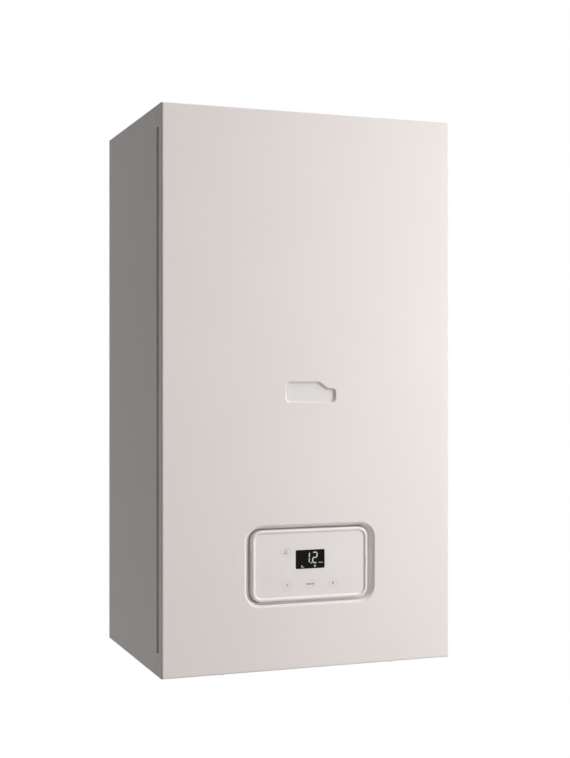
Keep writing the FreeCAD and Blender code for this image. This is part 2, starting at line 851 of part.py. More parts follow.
def mains_cable_gland():
    hexed = hexagon(22, -7, 0, gland_x, gland_y)
    dome = turned([(0, -13), (6.5, -13), (9.5, -10), (9.5, -7), (0, -7)], (gland_x, gland_y, 0), (0, 0, 1))
    neck = rod(gland_r - 0.2, (gland_x, gland_y, 0), (gland_x, gland_y, 8))
    nut = hexagon(24, sheet, sheet + 4, gland_x, gland_y)
    body = join(hexed, dome, neck, nut)
    return body.cut(rod(4.0, (gland_x, gland_y, -20), (gland_x, gland_y, 20)))


# Expansion vessel

def vessel_shell(outward):
    # One dished half: a rounded tray whose rim meets the other half
    rim_y = vessel_mid_y
    end_y = vessel_mid_y + outward * vessel_t / 2
    dish = slab(vessel_w, vessel_h, vessel_corner_r, min(rim_y, end_y), max(rim_y, end_y), 0, vessel_z)
    dish = dish.makeFillet(vessel_edge_r, edges_in_plane(dish, V(0, 1, 0), end_y))
    floor_y = end_y - outward * vessel_wall
    hollow = slab(vessel_w - 2 * vessel_wall, vessel_h - 2 * vessel_wall, vessel_corner_r - vessel_wall,
                  min(rim_y - outward, floor_y), max(rim_y - outward, floor_y), 0, vessel_z)
    hollow = hollow.makeFillet(vessel_edge_r - vessel_wall, edges_in_plane(hollow, V(0, 1, 0), floor_y))
    flange_end = rim_y + outward * vessel_rim_t
    rim = slab(vessel_w + 2 * vessel_rim, vessel_h + 2 * vessel_rim, vessel_corner_r + vessel_rim,
               min(rim_y, flange_end), max(rim_y, flange_end), 0, vessel_z)
    return dish.fuse(rim).cut(hollow).removeSplitter()


def vessel_port():
    return (block_x - vessel_port_inset, vessel_mid_y - vessel_t / 4)


def vessel_front_shell():
    shell = vessel_shell(-1)
    x, y = vessel_port()
    stub = sleeve(vessel_port_r, vessel_port_r - vessel_port_wall, (x, y, vessel_low - vessel_port_l),
                  (x, y, vessel_low + vessel_port_in))
    hollow = slab(vessel_w - 2 * vessel_wall, vessel_h - 2 * vessel_wall, vessel_corner_r - vessel_wall,
                  vessel_front_y + vessel_wall, vessel_mid_y, 0, vessel_z)
    return shell.fuse(stub.cut(hollow)).removeSplitter()


def vessel_brackets():
    bars = []
    x = bar_span / 2
    end = x + bar_foot
    for z in (vessel_low + bar_low, vessel_low + vessel_h - 2 * bar_low):
        y = vessel_rear_y + strap_t
        line = [(-end, -back_sheet), (-x, -back_sheet), (-x, y), (x, y), (x, -back_sheet), (end, -back_sheet)]
        bars.append(folded(line, strap_t, -1, on_xy(z), V(0, 0, strap_h)))
    return Part.Compound(bars)


# Heat exchanger and burner

def exchanger_shell():
    outer = rod(drum_r, (0, drum_rear_y, drum_z), (0, drum_front_y, drum_z))
    outer = outer.makeFillet(8.0, edges_in_plane(outer, V(0, 1, 0), drum_rear_y))
    flange = rod(flange_r, (0, drum_front_y + drum_flange_t, drum_z), (0, drum_front_y, drum_z))
    shell = outer.fuse(flange)
    shell = shell.fuse(rod(flue_r + 3, (-drum_r - 4, flue_y, flue_port_z),
                           (-drum_r * 0.7, flue_y, flue_port_z)))
    for x in (-drum_port_x, drum_port_x):
        shell = shell.fuse(rod(boss_r, (x, pipe_y, port_z), (x, pipe_y, port_z + 40)))
    shell = shell.fuse(rod(12.0, (condensate_x(), condensate_y(), drum_z - drum_r - 8),
                           (condensate_x(), condensate_y(), drum_z - drum_r + 14)))
    inner = rod(drum_r - drum_wall, (0, drum_rear_y - drum_wall, drum_z), (0, drum_front_y - 1, drum_z))
    shell = shell.cut(inner)
    shell = shell.cut(rod(flue_r - flue_wall, (-drum_r - 10, flue_y, flue_port_z),
                          (-drum_r * 0.5, flue_y, flue_port_z)))
    for x in (-drum_port_x, drum_port_x):
        shell = shell.cut(rod(pipe_r - pipe_wall, (x, pipe_y, port_z - 1),
                              (x, pipe_y, drum_z - drum_r * 0.6)))
    shell = shell.cut(rod(7.0, (condensate_x(), condensate_y(), drum_z - drum_r - 10),
                          (condensate_x(), condensate_y(), drum_z - drum_r + 20)))
    for x, z in door_bolt_places():
        shell = shell.cut(rod(3.2, (x, drum_front_y - 1, z), (x, drum_front_y + 8, z)))
    return shell.removeSplitter()


def condensate_x():
    return drip_x


def condensate_y():
    return drum_front_y + drip_in


def door_bolt_places():
    r = flange_r - door_bolt_inset
    turn = 2 * math.pi / door_bolts
    return [(r * math.cos(turn * i), drum_z + r * math.sin(turn * i)) for i in range(door_bolts)]


def exchanger_coil():
    # One tube wound as a helix, drawn as quarter turns
    mean = drum_r - drum_wall - coil_clear - coil_tube_r
    start_y = drum_rear_y - drum_wall - coil_tube_r - 1.5

    def at(turns):
        a = 2 * math.pi * turns - math.pi / 3
        return V(mean * math.cos(a), start_y - coil_pitch * turns, drum_z + mean * math.sin(a))

    edges = []
    for i in range(4 * coil_turns):
        edges.append(Part.Arc(at(i / 4), at((i + 0.5) / 4), at((i + 1) / 4)).toShape())
    line = Part.Wire(edges)
    start = edges[0].valueAt(edges[0].FirstParameter)
    heading = edges[0].tangentAt(edges[0].FirstParameter)
    outside = Part.Wire([Part.Circle(start, heading, coil_tube_r).toShape()])
    inside = Part.Wire([Part.Circle(start, heading, coil_tube_r - pipe_wall).toShape()])
    return line.makePipeShell([outside], True, False).cut(line.makePipeShell([inside], True, False))


def exchanger_bracket():
    x = vessel_w / 2 + vessel_rim + 6
    y = drum_rear_y + fit + strap_t
    line = [(-x - 18, -back_sheet), (-x, -back_sheet), (-x, y), (x, y), (x, -back_sheet),
            (x + 18, -back_sheet)]
    return folded(line, strap_t, -1, on_xy(drum_z - strap_h / 2), V(0, 0, strap_h))


def electrode_places():
    a = math.radians(electrode_angle)
    x = electrode_radius * math.cos(a)
    z = drum_z + electrode_radius * math.sin(a)
    return [(x, z), (-x, z)]


def burner_door():
    r = flange_r
    profile = [(0, 0), (r, 0), (r, -0.6 * door_t), (r - 3, -0.8 * door_t), (0.72 * r, -0.8 * door_t),
               (0.64 * r, -door_t), (0, -door_t)]
    door = turned(profile, (0, drum_front_y, drum_z), (0, 1, 0))
    for i in range(door_bolts):
        rib = box(-2.5, 2.5, -door_t, -0.5 * door_t, manifold_r + 14, r - 14)
        rib.rotate(V(0, 0, 0), V(0, 1, 0), 360 / door_bolts * (i + 0.5))
        rib.translate(V(0, drum_front_y, drum_z))
        door = door.fuse(rib)
    for x, z in door_bolt_places():
        door = door.cut(rod(3.2, (x, drum_front_y + 1, z), (x, door_front_y - 1, z)))
    for x, z in electrode_places():
        door = door.cut(rod(electrode_r + 0.1, (x, drum_front_y + 1, z), (x, door_front_y - 1, z)))
    door = door.cut(rod(manifold_r - manifold_wall, (0, drum_front_y + 1, drum_z),
                        (0, door_front_y - 1, drum_z)))
    return door.removeSplitter()


def door_nuts():
    nuts = []
    for x, z in door_bolt_places():
        face = drum_front_y - 0.8 * door_t
        r = 10.0 / math.sqrt(3)
        points = [V(x + r * math.cos(i * math.pi / 3), face,
                    z + r * math.sin(i * math.pi / 3)) for i in range(7)]
        nut = Part.Face(Part.makePolygon(points)).extrude(V(0, -5.0, 0))
        stud = rod(3.0, (x, face - 8, z), (x, drum_front_y + drum_flange_t, z))
        nuts.append(nut.fuse(stud).removeSplitter())
    return Part.Compound(nuts)


def burner_tube():
    r = burner_r
    profile = [(r + burner_flange, 0), (r + burner_flange, 1.5), (r, 1.5), (r, burner_l), (0, burner_l),
               (0, burner_l - 1.2), (r - 1.2, burner_l - 1.2), (r - 1.2, 0)]
    return turned(profile, (0, drum_front_y, drum_z), (0, 1, 0))


def electrode(x, z):
    tail = -electrode_tail
    ceramic = turned([(0, tail), (0.55 * electrode_r, tail), (electrode_r, tail + electrode_neck),
                      (electrode_r, electrode_reach), (0, electrode_reach)], (x, drum_front_y, z), (0, 1, 0))
    inner = 0.9 * electrode_r
    collar = turned([(inner, -electrode_collar_t), (electrode_collar_r, -electrode_collar_t),
                     (electrode_collar_r, 0),
                     (inner, 0)], (x, door_front_y, z), (0, 1, 0))
    tip = rod(electrode_pin_r, (x, drum_front_y + electrode_reach - 1, z),
              (x, drum_front_y + 2 * electrode_reach, z))
    return join(ceramic, collar, tip)


# Fan, gas and air

def volute(x, z, r, opening, y0, y1):
    # Spiral outline of three growing quarter turns that opens into an upright outlet on the left
    g = fan_growth
    left = x - r - 3 * g
    inner = left + opening
    rise = math.sqrt(r * r - (x - inner) ** 2)
    s = math.sqrt(0.5)

    def p(px, pz):
        return V(px, y0, pz)

    edges = [
        Part.Arc(p(inner, z + rise), p(x + r * math.sin(0.2), z + r * math.cos(0.2)), p(x + r, z)).toShape(),
        Part.Arc(p(x + r, z), p(x - g + (r + g) * s, z - (r + g) * s), p(x - g, z - r - g)).toShape(),
        Part.Arc(p(x - g, z - r - g), p(x - g - (r + 2 * g) * s, z + g - (r + 2 * g) * s),
                 p(left, z + g)).toShape(),
        Part.LineSegment(p(left, z + g), p(left, fan_top)).toShape(),
        Part.LineSegment(p(left, fan_top), p(inner, fan_top)).toShape(),
        Part.LineSegment(p(inner, fan_top), p(inner, z + rise)).toShape()]
    return Part.Face(Part.Wire(edges)).extrude(V(0, y1 - y0, 0))


def fan_housing():
    body = volute(fan_x, fan_z, fan_r + fan_wall, fan_outlet + 2 * fan_wall, fan_front_y, fan_rear_y)
    cavity = volute(fan_x, fan_z, fan_r, fan_outlet, fan_front_y + fan_wall, fan_rear_y - fan_wall)
    body = body.cut(cavity)
    rim = sleeve(fan_r - 2, fan_r - 6, (fan_x, fan_front_y - 2, fan_z), (fan_x, fan_front_y + 1, fan_z))
    body = body.fuse(rim)
    body = body.cut(rod(venturi_throat_r + 7, (fan_x, fan_rear_y - fan_wall - 1, fan_z),
                        (fan_x, fan_rear_y + 1, fan_z)))
    body = body.cut(rod(fan_shaft_r + 2, (fan_x, fan_front_y - 1, fan_z),
                        (fan_x, fan_front_y + fan_wall + 1, fan_z)))
    lugs = box(-fan_outlet / 2 - fan_wall - 8, fan_outlet / 2 + fan_wall + 8, fan_front_y, fan_rear_y,
               fan_top - 4, fan_top)
    lugs = lugs.cut(box(-fan_outlet / 2, fan_outlet / 2, fan_front_y + fan_wall, fan_rear_y - fan_wall,
                        fan_top - 5, fan_top + 1))
    return body.fuse(lugs).removeSplitter()


def fan_impeller():
    front = fan_front_y + fan_wall + 3
    rear = fan_rear_y - fan_wall - 4
    wheel = rod(impeller_r, (0, front, 0), (0, front + 1.5, 0))
    wheel = wheel.fuse(rod(9.0, (0, front, 0), (0, rear - 8, 0)))
    wheel = wheel.fuse(sleeve(impeller_r, 0.6 * impeller_r, (0, rear - 1.5, 0), (0, rear, 0)))
    blade_bow = 0.5 * impeller_r
    arc = Part.Arc(V(0.5 * impeller_r, front, 0), V(0.77 * impeller_r, front, 0.08 * blade_bow),
                   V(0.99 * impeller_r, front, 0.45 * blade_bow))
    strip = Part.Arc(V(0.99 * impeller_r, front, 0.45 * blade_bow + 1.4),
                     V(0.77 * impeller_r, front, 0.08 * blade_bow + 1.4),
                     V(0.5 * impeller_r, front, 1.4))
    outline = Part.Wire([arc.toShape(), Part.LineSegment(arc.EndPoint, strip.StartPoint).toShape(),
                         strip.toShape(),
                         Part.LineSegment(strip.EndPoint, arc.StartPoint).toShape()])
    blade = Part.Face(outline).extrude(V(0, rear - front, 0))
    blade = blade.common(rod(impeller_r, (0, front, 0), (0, rear, 0)))
    for i in range(impeller_blades):
        one = blade.copy()
        one.rotate(V(0, 0, 0), V(0, 1, 0), 360 / impeller_blades * i)
        wheel = wheel.fuse(one)
    wheel = wheel.fuse(rod(fan_shaft_r, (0, fan_front_y - 0.7 * fan_motor_l, 0), (0, front + 1, 0)))
    wheel.translate(V(fan_x, 0, fan_z))
    return wheel.removeSplitter()


def fan_motor():
    r = fan_motor_r
    end = fan_motor_l
    bore = fan_shaft_r + 0.3
    deep = 0.75 * end
    profile = [(bore, 0), (r, 0), (r, 0.45 * end), (r - 2, 0.5 * end), (r - 2, 0.75 * end), (r - 8, end),
               (0, end),
               (0, deep), (bore, deep)]
    motor = turned(profile, (fan_x, fan_front_y, fan_z), (0, -1, 0))
    plug = box(fan_x + r - 8, fan_x + r + 5, fan_front_y - 0.4 * end, fan_front_y, fan_z - 9, fan_z + 9)
    return motor.fuse(plug).removeSplitter()


def mixing_venturi():
    bore = venturi_throat_r
    mouth = venturi_mouth_r
    w = venturi_wall
    l = venturi_l
    profile = [(bore + 4, 0), (bore + 17, 0), (bore + 17, 4), (bore + 4 + w, 4), (bore + w, 0.35 * l),
               (bore + w, 0.6 * l),
               (mouth + w, 0.95 * l), (mouth + w, l), (mouth, l), (bore, 0.6 * l), (bore, 0.35 * l)]
    body = turned(profile, (fan_x, fan_rear_y, fan_z), (0, 1, 0))
    end = valve_x - valve_w / 2
    stub = rod(9.0, (fan_x + bore + 1, valve_y, fan_z), (end, valve_y, fan_z))
    stub = stub.cut(rod(6.0, (fan_x, valve_y, fan_z), (end + 1, valve_y, fan_z)))
    return body.fuse(stub).removeSplitter()


def gas_valve():
    x0 = valve_x - valve_w / 2
    body = box(x0, x0 + valve_w, valve_y - valve_l / 2, valve_y + valve_l / 2, valve_low, valve_low + valve_h)
    body = body.makeFillet(6.0, edges_along(body, V(0, 0, 1)))
    port = rod(valve_port_r, (valve_x, valve_y, valve_low - valve_port_l), (valve_x, valve_y, valve_low + 2))
    body = body.fuse(port)
    face = valve_y - valve_l / 2
    body = body.fuse(rod(10.0, (valve_x, face - 4, valve_low + 0.3 * valve_h),
                         (valve_x, face + 2, valve_low + 0.3 * valve_h)))
    for dx in (-14, 14):
        body = body.fuse(rod(3.5, (valve_x + dx, face - 6, valve_low + 0.7 * valve_h),
                             (valve_x + dx, face + 2, valve_low + 0.7 * valve_h)))
    bore = valve_port_r - 3
    body = body.cut(rod(bore, (valve_x, valve_y, valve_low - 20), (valve_x, valve_y, valve_low + 10)))
    return body.removeSplitter()


def gas_valve_coils():
    low = valve_low + valve_h
    coils = []
    for dx in (-valve_w / 4, valve_w / 4):
        w = valve_w / 2 - 3
        coil = box(valve_x + dx - w / 2, valve_x + dx + w / 2, valve_y - 18, valve_y + 18, low, low + coil_h)
        coil = coil.makeFillet(4.0, edges_along(coil, V(0, 0, 1)))
        coils.append(coil.fuse(rod(5.0, (valve_x + dx, valve_y, low + coil_h - 1),
                                   (valve_x + dx, valve_y, low + coil_h + 4))))
    return Part.Compound(coils)


def mixture_manifold():
    low = fan_top + manifold_flange_t
    line = [(0, manifold_y, fan_top), (0, manifold_y, drum_z), (0, door_front_y, drum_z)]
    bend = manifold_r + 2
    tube = swept(line, bend, manifold_r)
    half = fan_outlet / 2 + fan_wall + 6
    foot = box(-half, half, fan_front_y, fan_rear_y, fan_top, low)
    foot = foot.makeFillet(5.0, edges_along(foot, V(0, 0, 1)))
    head = rod(manifold_r + 12, (0, door_front_y, drum_z), (0, door_front_y - 4, drum_z))
    body = join(tube, foot, head)
    return body.cut(swept(line, bend, manifold_r - manifold_wall))


def gas_pipe():
    z = pump_z + motor_r + pipe_bend + 12
    line = [(0, union_y, 8), (0, union_y, z), (valve_x, union_y, z), (valve_x, valve_y, z),
            (valve_x, valve_y, valve_low - valve_port_l)]
    return threaded(0.0, thread_big_r, pipe(line, pipe_bend - 2, tap_pipe_r, pipe_wall),
                    tap_pipe_r - pipe_wall)


def threaded(x, thread_r, tube, bore):
    # Male union below the base plate, lock nut on it, tube above
    drop = -union_drop
    collar = drop + thread_l
    stem = turned([(0, drop), (thread_r - 1, drop), (thread_r, drop + 1), (thread_r, collar),
                   (thread_r - 1.2, collar + 1),
                   (thread_r - 1.2, sheet + 8), (0, sheet + 8)], (x, union_y, 0), (0, 0, 1))
    hexed = hexagon(2 * thread_r + 4, -hex_h - 1, -1, x, union_y)
    nut = hexagon(2 * thread_r + 4, sheet, sheet + 5, x, union_y)
    body = join(stem, hexed, nut)
    body = body.cut(rod(bore, (x, union_y, drop - 1), (x, union_y, sheet + 20)))
    return body.fuse(tube).removeSplitter()


def ignition_transformer():
    top = drum_z - spark_drop
    block = box(side_in - spark_w, side_in, spark_y - spark_l / 2, spark_y + spark_l / 2, top - spark_h, top)
    block = block.makeFillet(spark_r, edges_along(block, V(1, 0, 0)))
    x = side_in - 0.55 * spark_w
    lead = rod(spark_lead_r, (x, spark_y, top - 1), (x, spark_y, top + spark_lead_l))
    return block.fuse(lead).removeSplitter()


# Flue

def flue_duct():
    line = [(-drum_r - 4, flue_y, flue_port_z), (-flue_side, flue_y, flue_port_z),
            (-flue_side, flue_y, flue_run_z),
            (0, flue_y, flue_run_z), (0, flue_y, case_h - 6)]
    return pipe(line, flue_bend, flue_r, flue_wall)


def flue_adapter():
    up = case_h + adapter_rise
    seat = case_h - 4
    out = socket_r + socket_wall
    socket = turned([(socket_r, case_h - adapter_drop), (out, case_h - adapter_drop), (out, up),
                     (socket_r + 0.8, up),
                     (socket_r, up - 0.8), (socket_r, seat + 3), (flue_r - 2, seat + 3),
                     (flue_r - 2, seat), (socket_r, seat)],
                    (0, flue_y, 0), (0, 0, 1))
    collar = turned([(air_r - air_wall, case_h), (adapter_r, case_h), (adapter_r, case_h + adapter_t),
                     (air_r, case_h + adapter_t + 1), (air_r, up - 0.6), (air_r - 0.6, up),
                     (air_r - air_wall, up)],
                    (0, flue_y, 0), (0, 0, 1))
    body = socket.fuse(collar)
    for i in range(3):
        rib = box(out - 1, air_r - air_wall + 0.5, -1.5, 1.5, case_h, case_h + 9)
        rib.rotate(V(0, 0, 0), V(0, 0, 1), 120 * i + 30)
        rib.translate(V(0, flue_y, 0))
        body = body.fuse(rib)
    for x in (-test_x(), test_x()):
        body = body.fuse(turned([(0, 1), (4.5, 1), (4.5, 8), (6.0, 8), (6.0, 15), (5.0, 16), (0, 16)],
                                (x, flue_y, case_h), (0, 0, 1)))
    return body.removeSplitter()


def test_x():
    return (air_r + adapter_r) / 2 + 0.5


# Water side

def block_core(side):
    x = side * block_x
    body = turned([(0, block_low), (block_r - 3, block_low), (block_r, block_low + 3),
                   (block_r, block_top - 4),
                   (block_r - 4, block_top), (0, block_top)], (x, union_y, 0), (0, 0, 1))
    for dz in (-plate_port_dz, plate_port_dz):
        z = plate_z + dz
        body = body.fuse(rod(arm_r, (x, union_y, z), (x, plate_mid_y, z)))
        body = body.fuse(Part.makeSphere(arm_r, V(x, plate_mid_y, z)))
        body = body.fuse(rod(arm_r, (x, plate_mid_y, z), (side * plate_w / 2, plate_mid_y, z)))
    return body


def block_bores(side):
    # Waterways: the bore up the block, its foot, and the two elbows to the plate pack
    x = side * block_x
    r = arm_r - water_wall
    bores = rod(block_r - water_wall, (x, union_y, block_low + water_wall),
                (x, union_y, block_top - 3 * water_wall))
    bores = bores.fuse(rod(pipe_r - pipe_wall, (x, union_y, block_low - 1),
                           (x, union_y, block_low + 2 * water_wall)))
    for dz in (-plate_port_dz, plate_port_dz):
        z = plate_z + dz
        bores = bores.fuse(rod(r, (x, union_y, z), (x, plate_mid_y, z)))
        bores = bores.fuse(Part.makeSphere(r, V(x, plate_mid_y, z)))
        bores = bores.fuse(rod(r, (x, plate_mid_y, z), (side * (plate_w / 2 - 1), plate_mid_y, z)))
    end = side * (block_x - block_r - 6)
    return bores.fuse(rod(tap_pipe_r - pipe_wall, (end, union_y, tap_pipe_z), (x, union_y, tap_pipe_z)))


def tap_port(side):
    return rod(boss_r - 2, (side * (block_x - block_r - 5), union_y, tap_pipe_z),
               (side * block_x, union_y, tap_pipe_z))


def flow_block():
    body = block_core(-1).fuse(tap_port(-1))
    body = body.fuse(rod(boss_r, (-block_x, pipe_y, block_top - 34), (-block_x, pipe_y, block_top - 10)))
    body = body.fuse(rod(boss_r - 3, (-block_x, pipe_y, block_top - 22), (-block_x, union_y, block_top - 22)))
    body = body.cut(block_bores(-1))
    body = body.cut(rod(spindle_r + 0.3, (-block_x, union_y, block_top - 30),
                        (-block_x, union_y, block_top + 5)))
    return body.removeSplitter()


def return_block():
    body = block_core(1).fuse(tap_port(1))
    body = body.fuse(rod(arm_r, (block_x, union_y, pump_z + 5), (block_x, pipe_y, pump_z + 5)))
    body = body.fuse(Part.makeSphere(arm_r, V(block_x, pipe_y, pump_z + 5)))
    body = body.fuse(rod(arm_r, (block_x, pipe_y, pump_z + 5), (pump_x + pump_r + 4, pipe_y, pump_z + 5)))
    body = body.fuse(rod(safety_r - 2, (block_x, union_y - block_r - 1, safety_z),
                         (block_x, union_y, safety_z)))
    hose_x, hose_y = vessel_port()
    body = body.fuse(rod(vessel_port_r, (hose_x, union_y + 6, hose_z()),
                         (hose_x, union_y + block_r + 6, hose_z())))
    body = body.cut(block_bores(1))
    return body.removeSplitter()


def hose_z():
    return block_top - 8


def vessel_hose():
    x, y = vessel_port()
    line = [(x, y, vessel_low - vessel_port_l), (x, y, hose_z()), (x, union_y + block_r + 6, hose_z())]
    return pipe(line, pipe_bend, vessel_port_r - 1, 2.0)


def plate_heat_exchanger():
    y0 = -plate_back - plate_l
    pack = slab(plate_w, plate_h, plate_r, y0, -plate_back, 0, plate_z)
    pack = pack.makeFillet(2.0, edges_in_plane(pack, V(0, 1, 0), y0))
    inner = 2 * plate_skin
    pack = pack.cut(slab(plate_w - inner, plate_h - inner, plate_r - plate_skin, y0 + plate_skin,
                         -plate_back - plate_skin, 0, plate_z))
    count = 9
    for i in range(count):
        y = y0 + plate_l * (i + 1) / (count + 1)
        groove = slab(plate_w + 2, plate_h + 2, plate_r + 1, y - 0.8, y + 0.8, 0, plate_z)
        core = slab(plate_w - 3, plate_h - 3, plate_r - 1.5, y - 2, y + 2, 0, plate_z)
        pack = pack.cut(groove.cut(core))
    for side in (-1, 1):
        for dz in (-plate_port_dz, plate_port_dz):
            end = side * plate_w / 2
            pack = pack.fuse(rod(arm_r + 1.5, (end - side * 8, plate_mid_y, plate_z + dz),
                                 (end, plate_mid_y, plate_z + dz)))
    return pack.removeSplitter()


def pump_housing():
    rear = pipe_y + pump_l / 2
    body = rod(pump_r, (pump_x, pump_front_y, pump_z), (pump_x, rear, pump_z))
    body = body.makeFillet(8.0, edges_in_plane(body, V(0, 1, 0), rear))
    top = pump_z + pump_r + 12
    body = body.fuse(rod(boss_r, (drum_port_x, pipe_y, pump_z), (drum_port_x, pipe_y, top)))
    body = body.fuse(rod(arm_r + 2, (pump_x + pump_r - 14, pipe_y, pump_z + 5),
                         (pump_x + pump_r + 4, pipe_y, pump_z + 5)))
    cavity = rod(pump_r - pump_wall, (pump_x, pump_front_y - 1, pump_z), (pump_x, rear - pump_wall, pump_z))
    body = body.cut(cavity)
    return body.cut(rod(pipe_r - pipe_wall, (drum_port_x, pipe_y, pump_z),
                        (drum_port_x, pipe_y, top + 1))).removeSplitter()


def pump_motor():
    l = motor_l
    r = motor_r
    bore = rotor_r + 0.4
    deep = 0.8 * l
    profile = [(bore, 0), (r, 0), (r, 6), (r - 5, 8), (r - 5, 0.62 * l), (r - 1, 0.66 * l),
               (r - 1, 0.95 * l), (r - 4, l),
               (10, l), (9, l - 1.5), (0, l - 1.5), (0, deep), (bore, deep)]
    motor = turned(profile, (pump_x, pump_front_y, pump_z), (0, -1, 0))
    for i in range(12):
        fin = box(r - 7, r - 1, -0.6 * l, -7, -1, 1)
        fin.rotate(V(0, 0, 0), V(0, 1, 0), 30 * i)
        fin.translate(V(pump_x, pump_front_y, pump_z))
        motor = motor.fuse(fin)
    return motor.removeSplitter()


def pump_impeller():
    l = motor_l
    rear = pipe_y + pump_l / 2 - pump_wall - 4 - pump_front_y
    profile = [(0, -0.75 * l), (rotor_r, -0.75 * l), (rotor_r, -2), (4, -2), (4, 6), (wheel_r, 6),
               (wheel_r, 8), (12, 10),
               (12, rear - 4), (wheel_r, rear - 2), (wheel_r, rear), (8, rear), (0, 12)]
    wheel = turned(profile, (pump_x, pump_front_y, pump_z), (0, 1, 0))
    for i in range(6):
        blade = box(11, wheel_r - 1, 7, rear - 1, -0.8, 0.8)
        blade.rotate(V(0, 0, 0), V(0, 1, 0), 60 * i)
        blade.translate(V(pump_x, pump_front_y, pump_z))
        wheel = wheel.fuse(blade)
    return wheel.removeSplitter()


def return_pipe():
    start = (drum_port_x, pipe_y, pump_z + pump_r + 12)
    return sleeve(pipe_r, pipe_r - pipe_wall, start, (drum_port_x, pipe_y, port_z))


def flow_pipe():
    z = block_top + actuator_gap + actuator_h + pipe_r + 24
    line = [(-drum_port_x, pipe_y, port_z), (-drum_port_x, pipe_y, z), (-block_x, pipe_y, z),
            (-block_x, pipe_y, block_top - 10)]
    return pipe(line, pipe_bend, pipe_r, pipe_wall)


def plain_union(side):
    x = side * block_x
    stem = sleeve(pipe_r + 1, pipe_r - pipe_wall, (x, union_y, 0), (x, union_y, block_low))
    return threaded(x, thread_big_r, stem, pipe_r - pipe_wall)


def water_pipe(side):
    x = side * union_pitch
    end = side * (block_x - block_r - 5)
    tube = pipe([(x, union_y, 8), (x, union_y, tap_pipe_z), (end, union_y, tap_pipe_z)], 14.0, tap_pipe_r,
                pipe_wall)
    return threaded(x, thread_small_r, tube, tap_pipe_r - pipe_wall)


def diverter_actuator():
    low = block_top
    x = -block_x
    yoke = sleeve(block_r - 4, block_r - 8, (x, union_y, low), (x, union_y, low + actuator_gap))
    yoke = yoke.cut(box(x - 9, x + 9, union_y - block_r, union_y + block_r, low + 3, low + actuator_gap - 2))
    w = actuator_w / 2
    case = box(x - w, x + w, union_y - w - 8, union_y + w, low + actuator_gap,
               low + actuator_gap + actuator_h)
    case = case.makeFillet(5.0, edges_along(case, V(0, 0, 1)))
    case = case.makeFillet(2.0, edges_in_plane(case, V(0, 0, 1), low + actuator_gap + actuator_h))
    bore = rod(spindle_r + 0.3, (x, union_y, low - 1), (x, union_y, low + actuator_gap + 14))
    return join(yoke, case).cut(bore)


def diverter_spindle():
    x = -block_x
    low = block_top
    profile = [(0, -16), (spindle_r, -16), (spindle_r, 8), (spindle_r + 3, 8), (spindle_r + 3, 10),
               (spindle_r, 10),
               (spindle_r, actuator_gap + 8), (0, actuator_gap + 8)]
    return turned(profile, (x, union_y, low), (0, 0, 1))


def safety_valve():
    y = union_y - block_r - 1
    profile = [(0, 0), (safety_r, 0), (safety_r, 0.6 * safety_l), (safety_r - 2, 0.7 * safety_l),
               (safety_r - 2, safety_l), (0, safety_l)]
    body = turned(profile, (block_x, y, safety_z), (0, -1, 0))
    spout = rod(tap_pipe_r + 1.5, (block_x, discharge_y(), safety_z - 20), (block_x, discharge_y(), safety_z))
    body = body.fuse(spout)
    stem = rod(3.0, (block_x, y - safety_l - knob_l + 5, safety_z), (block_x, y - safety_l + 1, safety_z))
    profile = [(tap_pipe_r - pipe_wall, -18), (tap_pipe_r, -18), (tap_pipe_r, -3), (tap_pipe_r + 0.7, -2.3),
               (tap_pipe_r + 0.7, safety_z - 19), (tap_pipe_r - pipe_wall, safety_z - 19)]
    tail = turned(profile, (block_x, discharge_y(), 0), (0, 0, 1))
    return join(body, stem, tail)


def safety_valve_knob():
    y = union_y - block_r - 1 - safety_l - 0.3
    knob = turned([(0, 0), (knob_r, 0), (knob_r, knob_l - 2), (knob_r - 2, knob_l), (0, knob_l)],
                  (block_x, y, safety_z), (0, -1, 0))
    for i in range(8):
        a = math.radians(45 * i + 22.5)
        x = block_x + (knob_r + 3.0) * math.cos(a)
        z = safety_z + (knob_r + 3.0) * math.sin(a)
        knob = knob.cut(rod(5.0, (x, y + 1, z), (x, y - knob_l - 1, z)))
    return knob.cut(rod(3.3, (block_x, y + 1, safety_z), (block_x, y - knob_l + 4, safety_z)))


def filling_tap():
    low = 2 * sheet
    body = rod(tap_r, (tap_x, union_y, low - 8), (tap_x, union_y, tap_pipe_z))
    body = body.fuse(hexagon(2 * tap_r + 4, low, low + 8, tap_x, union_y))
    body = body.cut(rod(tap_pipe_r - pipe_wall, (tap_x - 20, union_y, tap_pipe_z),
                        (tap_x + 20, union_y, tap_pipe_z)))
    return body.cut(rod(3.8, (tap_x, union_y, low - 20), (tap_x, union_y, low + 14))).removeSplitter()


def filling_tap_handle():
    low = 2 * sheet - 8
    stem = rod(3.5, (tap_x, union_y, low - 6), (tap_x, union_y, low + 12))
    hub = turned([(0, low - 18), (7.5, low - 18), (9.0, low - 16), (9.0, low - 1), (8, low - 0.3),
                  (0, low - 0.3)],
                 (tap_x, union_y, 0), (0, 0, 1))
    wing = box(tap_x - 3, tap_x + 3, union_y - tap_wing, union_y + tap_wing, low - 18, low - 5)
    wing = wing.makeFillet(2.5, edges_along(wing, V(0, 0, 1)))
    return join(stem, hub, wing)


def air_vent():
    profile = [(0, 0), (12, 0), (12, 3), (14, 5), (14, 19), (11, 22), (7, 22), (7, 25), (6, 26), (0, 26)]
    return turned([(r, h + block_top) for r, h in profile], (block_x, union_y, 0), (0, 0, 1))


def condensate_hose():
    x = condensate_x()
    y = condensate_y()
    mid = (drum_z - drum_r + siphon_top) / 2
    line = [(x, y, drum_z - drum_r - 8), (x, y, mid + drip_slant), (siphon_x, siphon_y, mid - drip_slant),
            (siphon_x, siphon_y, siphon_top)]
    return pipe(line, drip_hose_bend, drip_hose_r, drip_hose_wall)


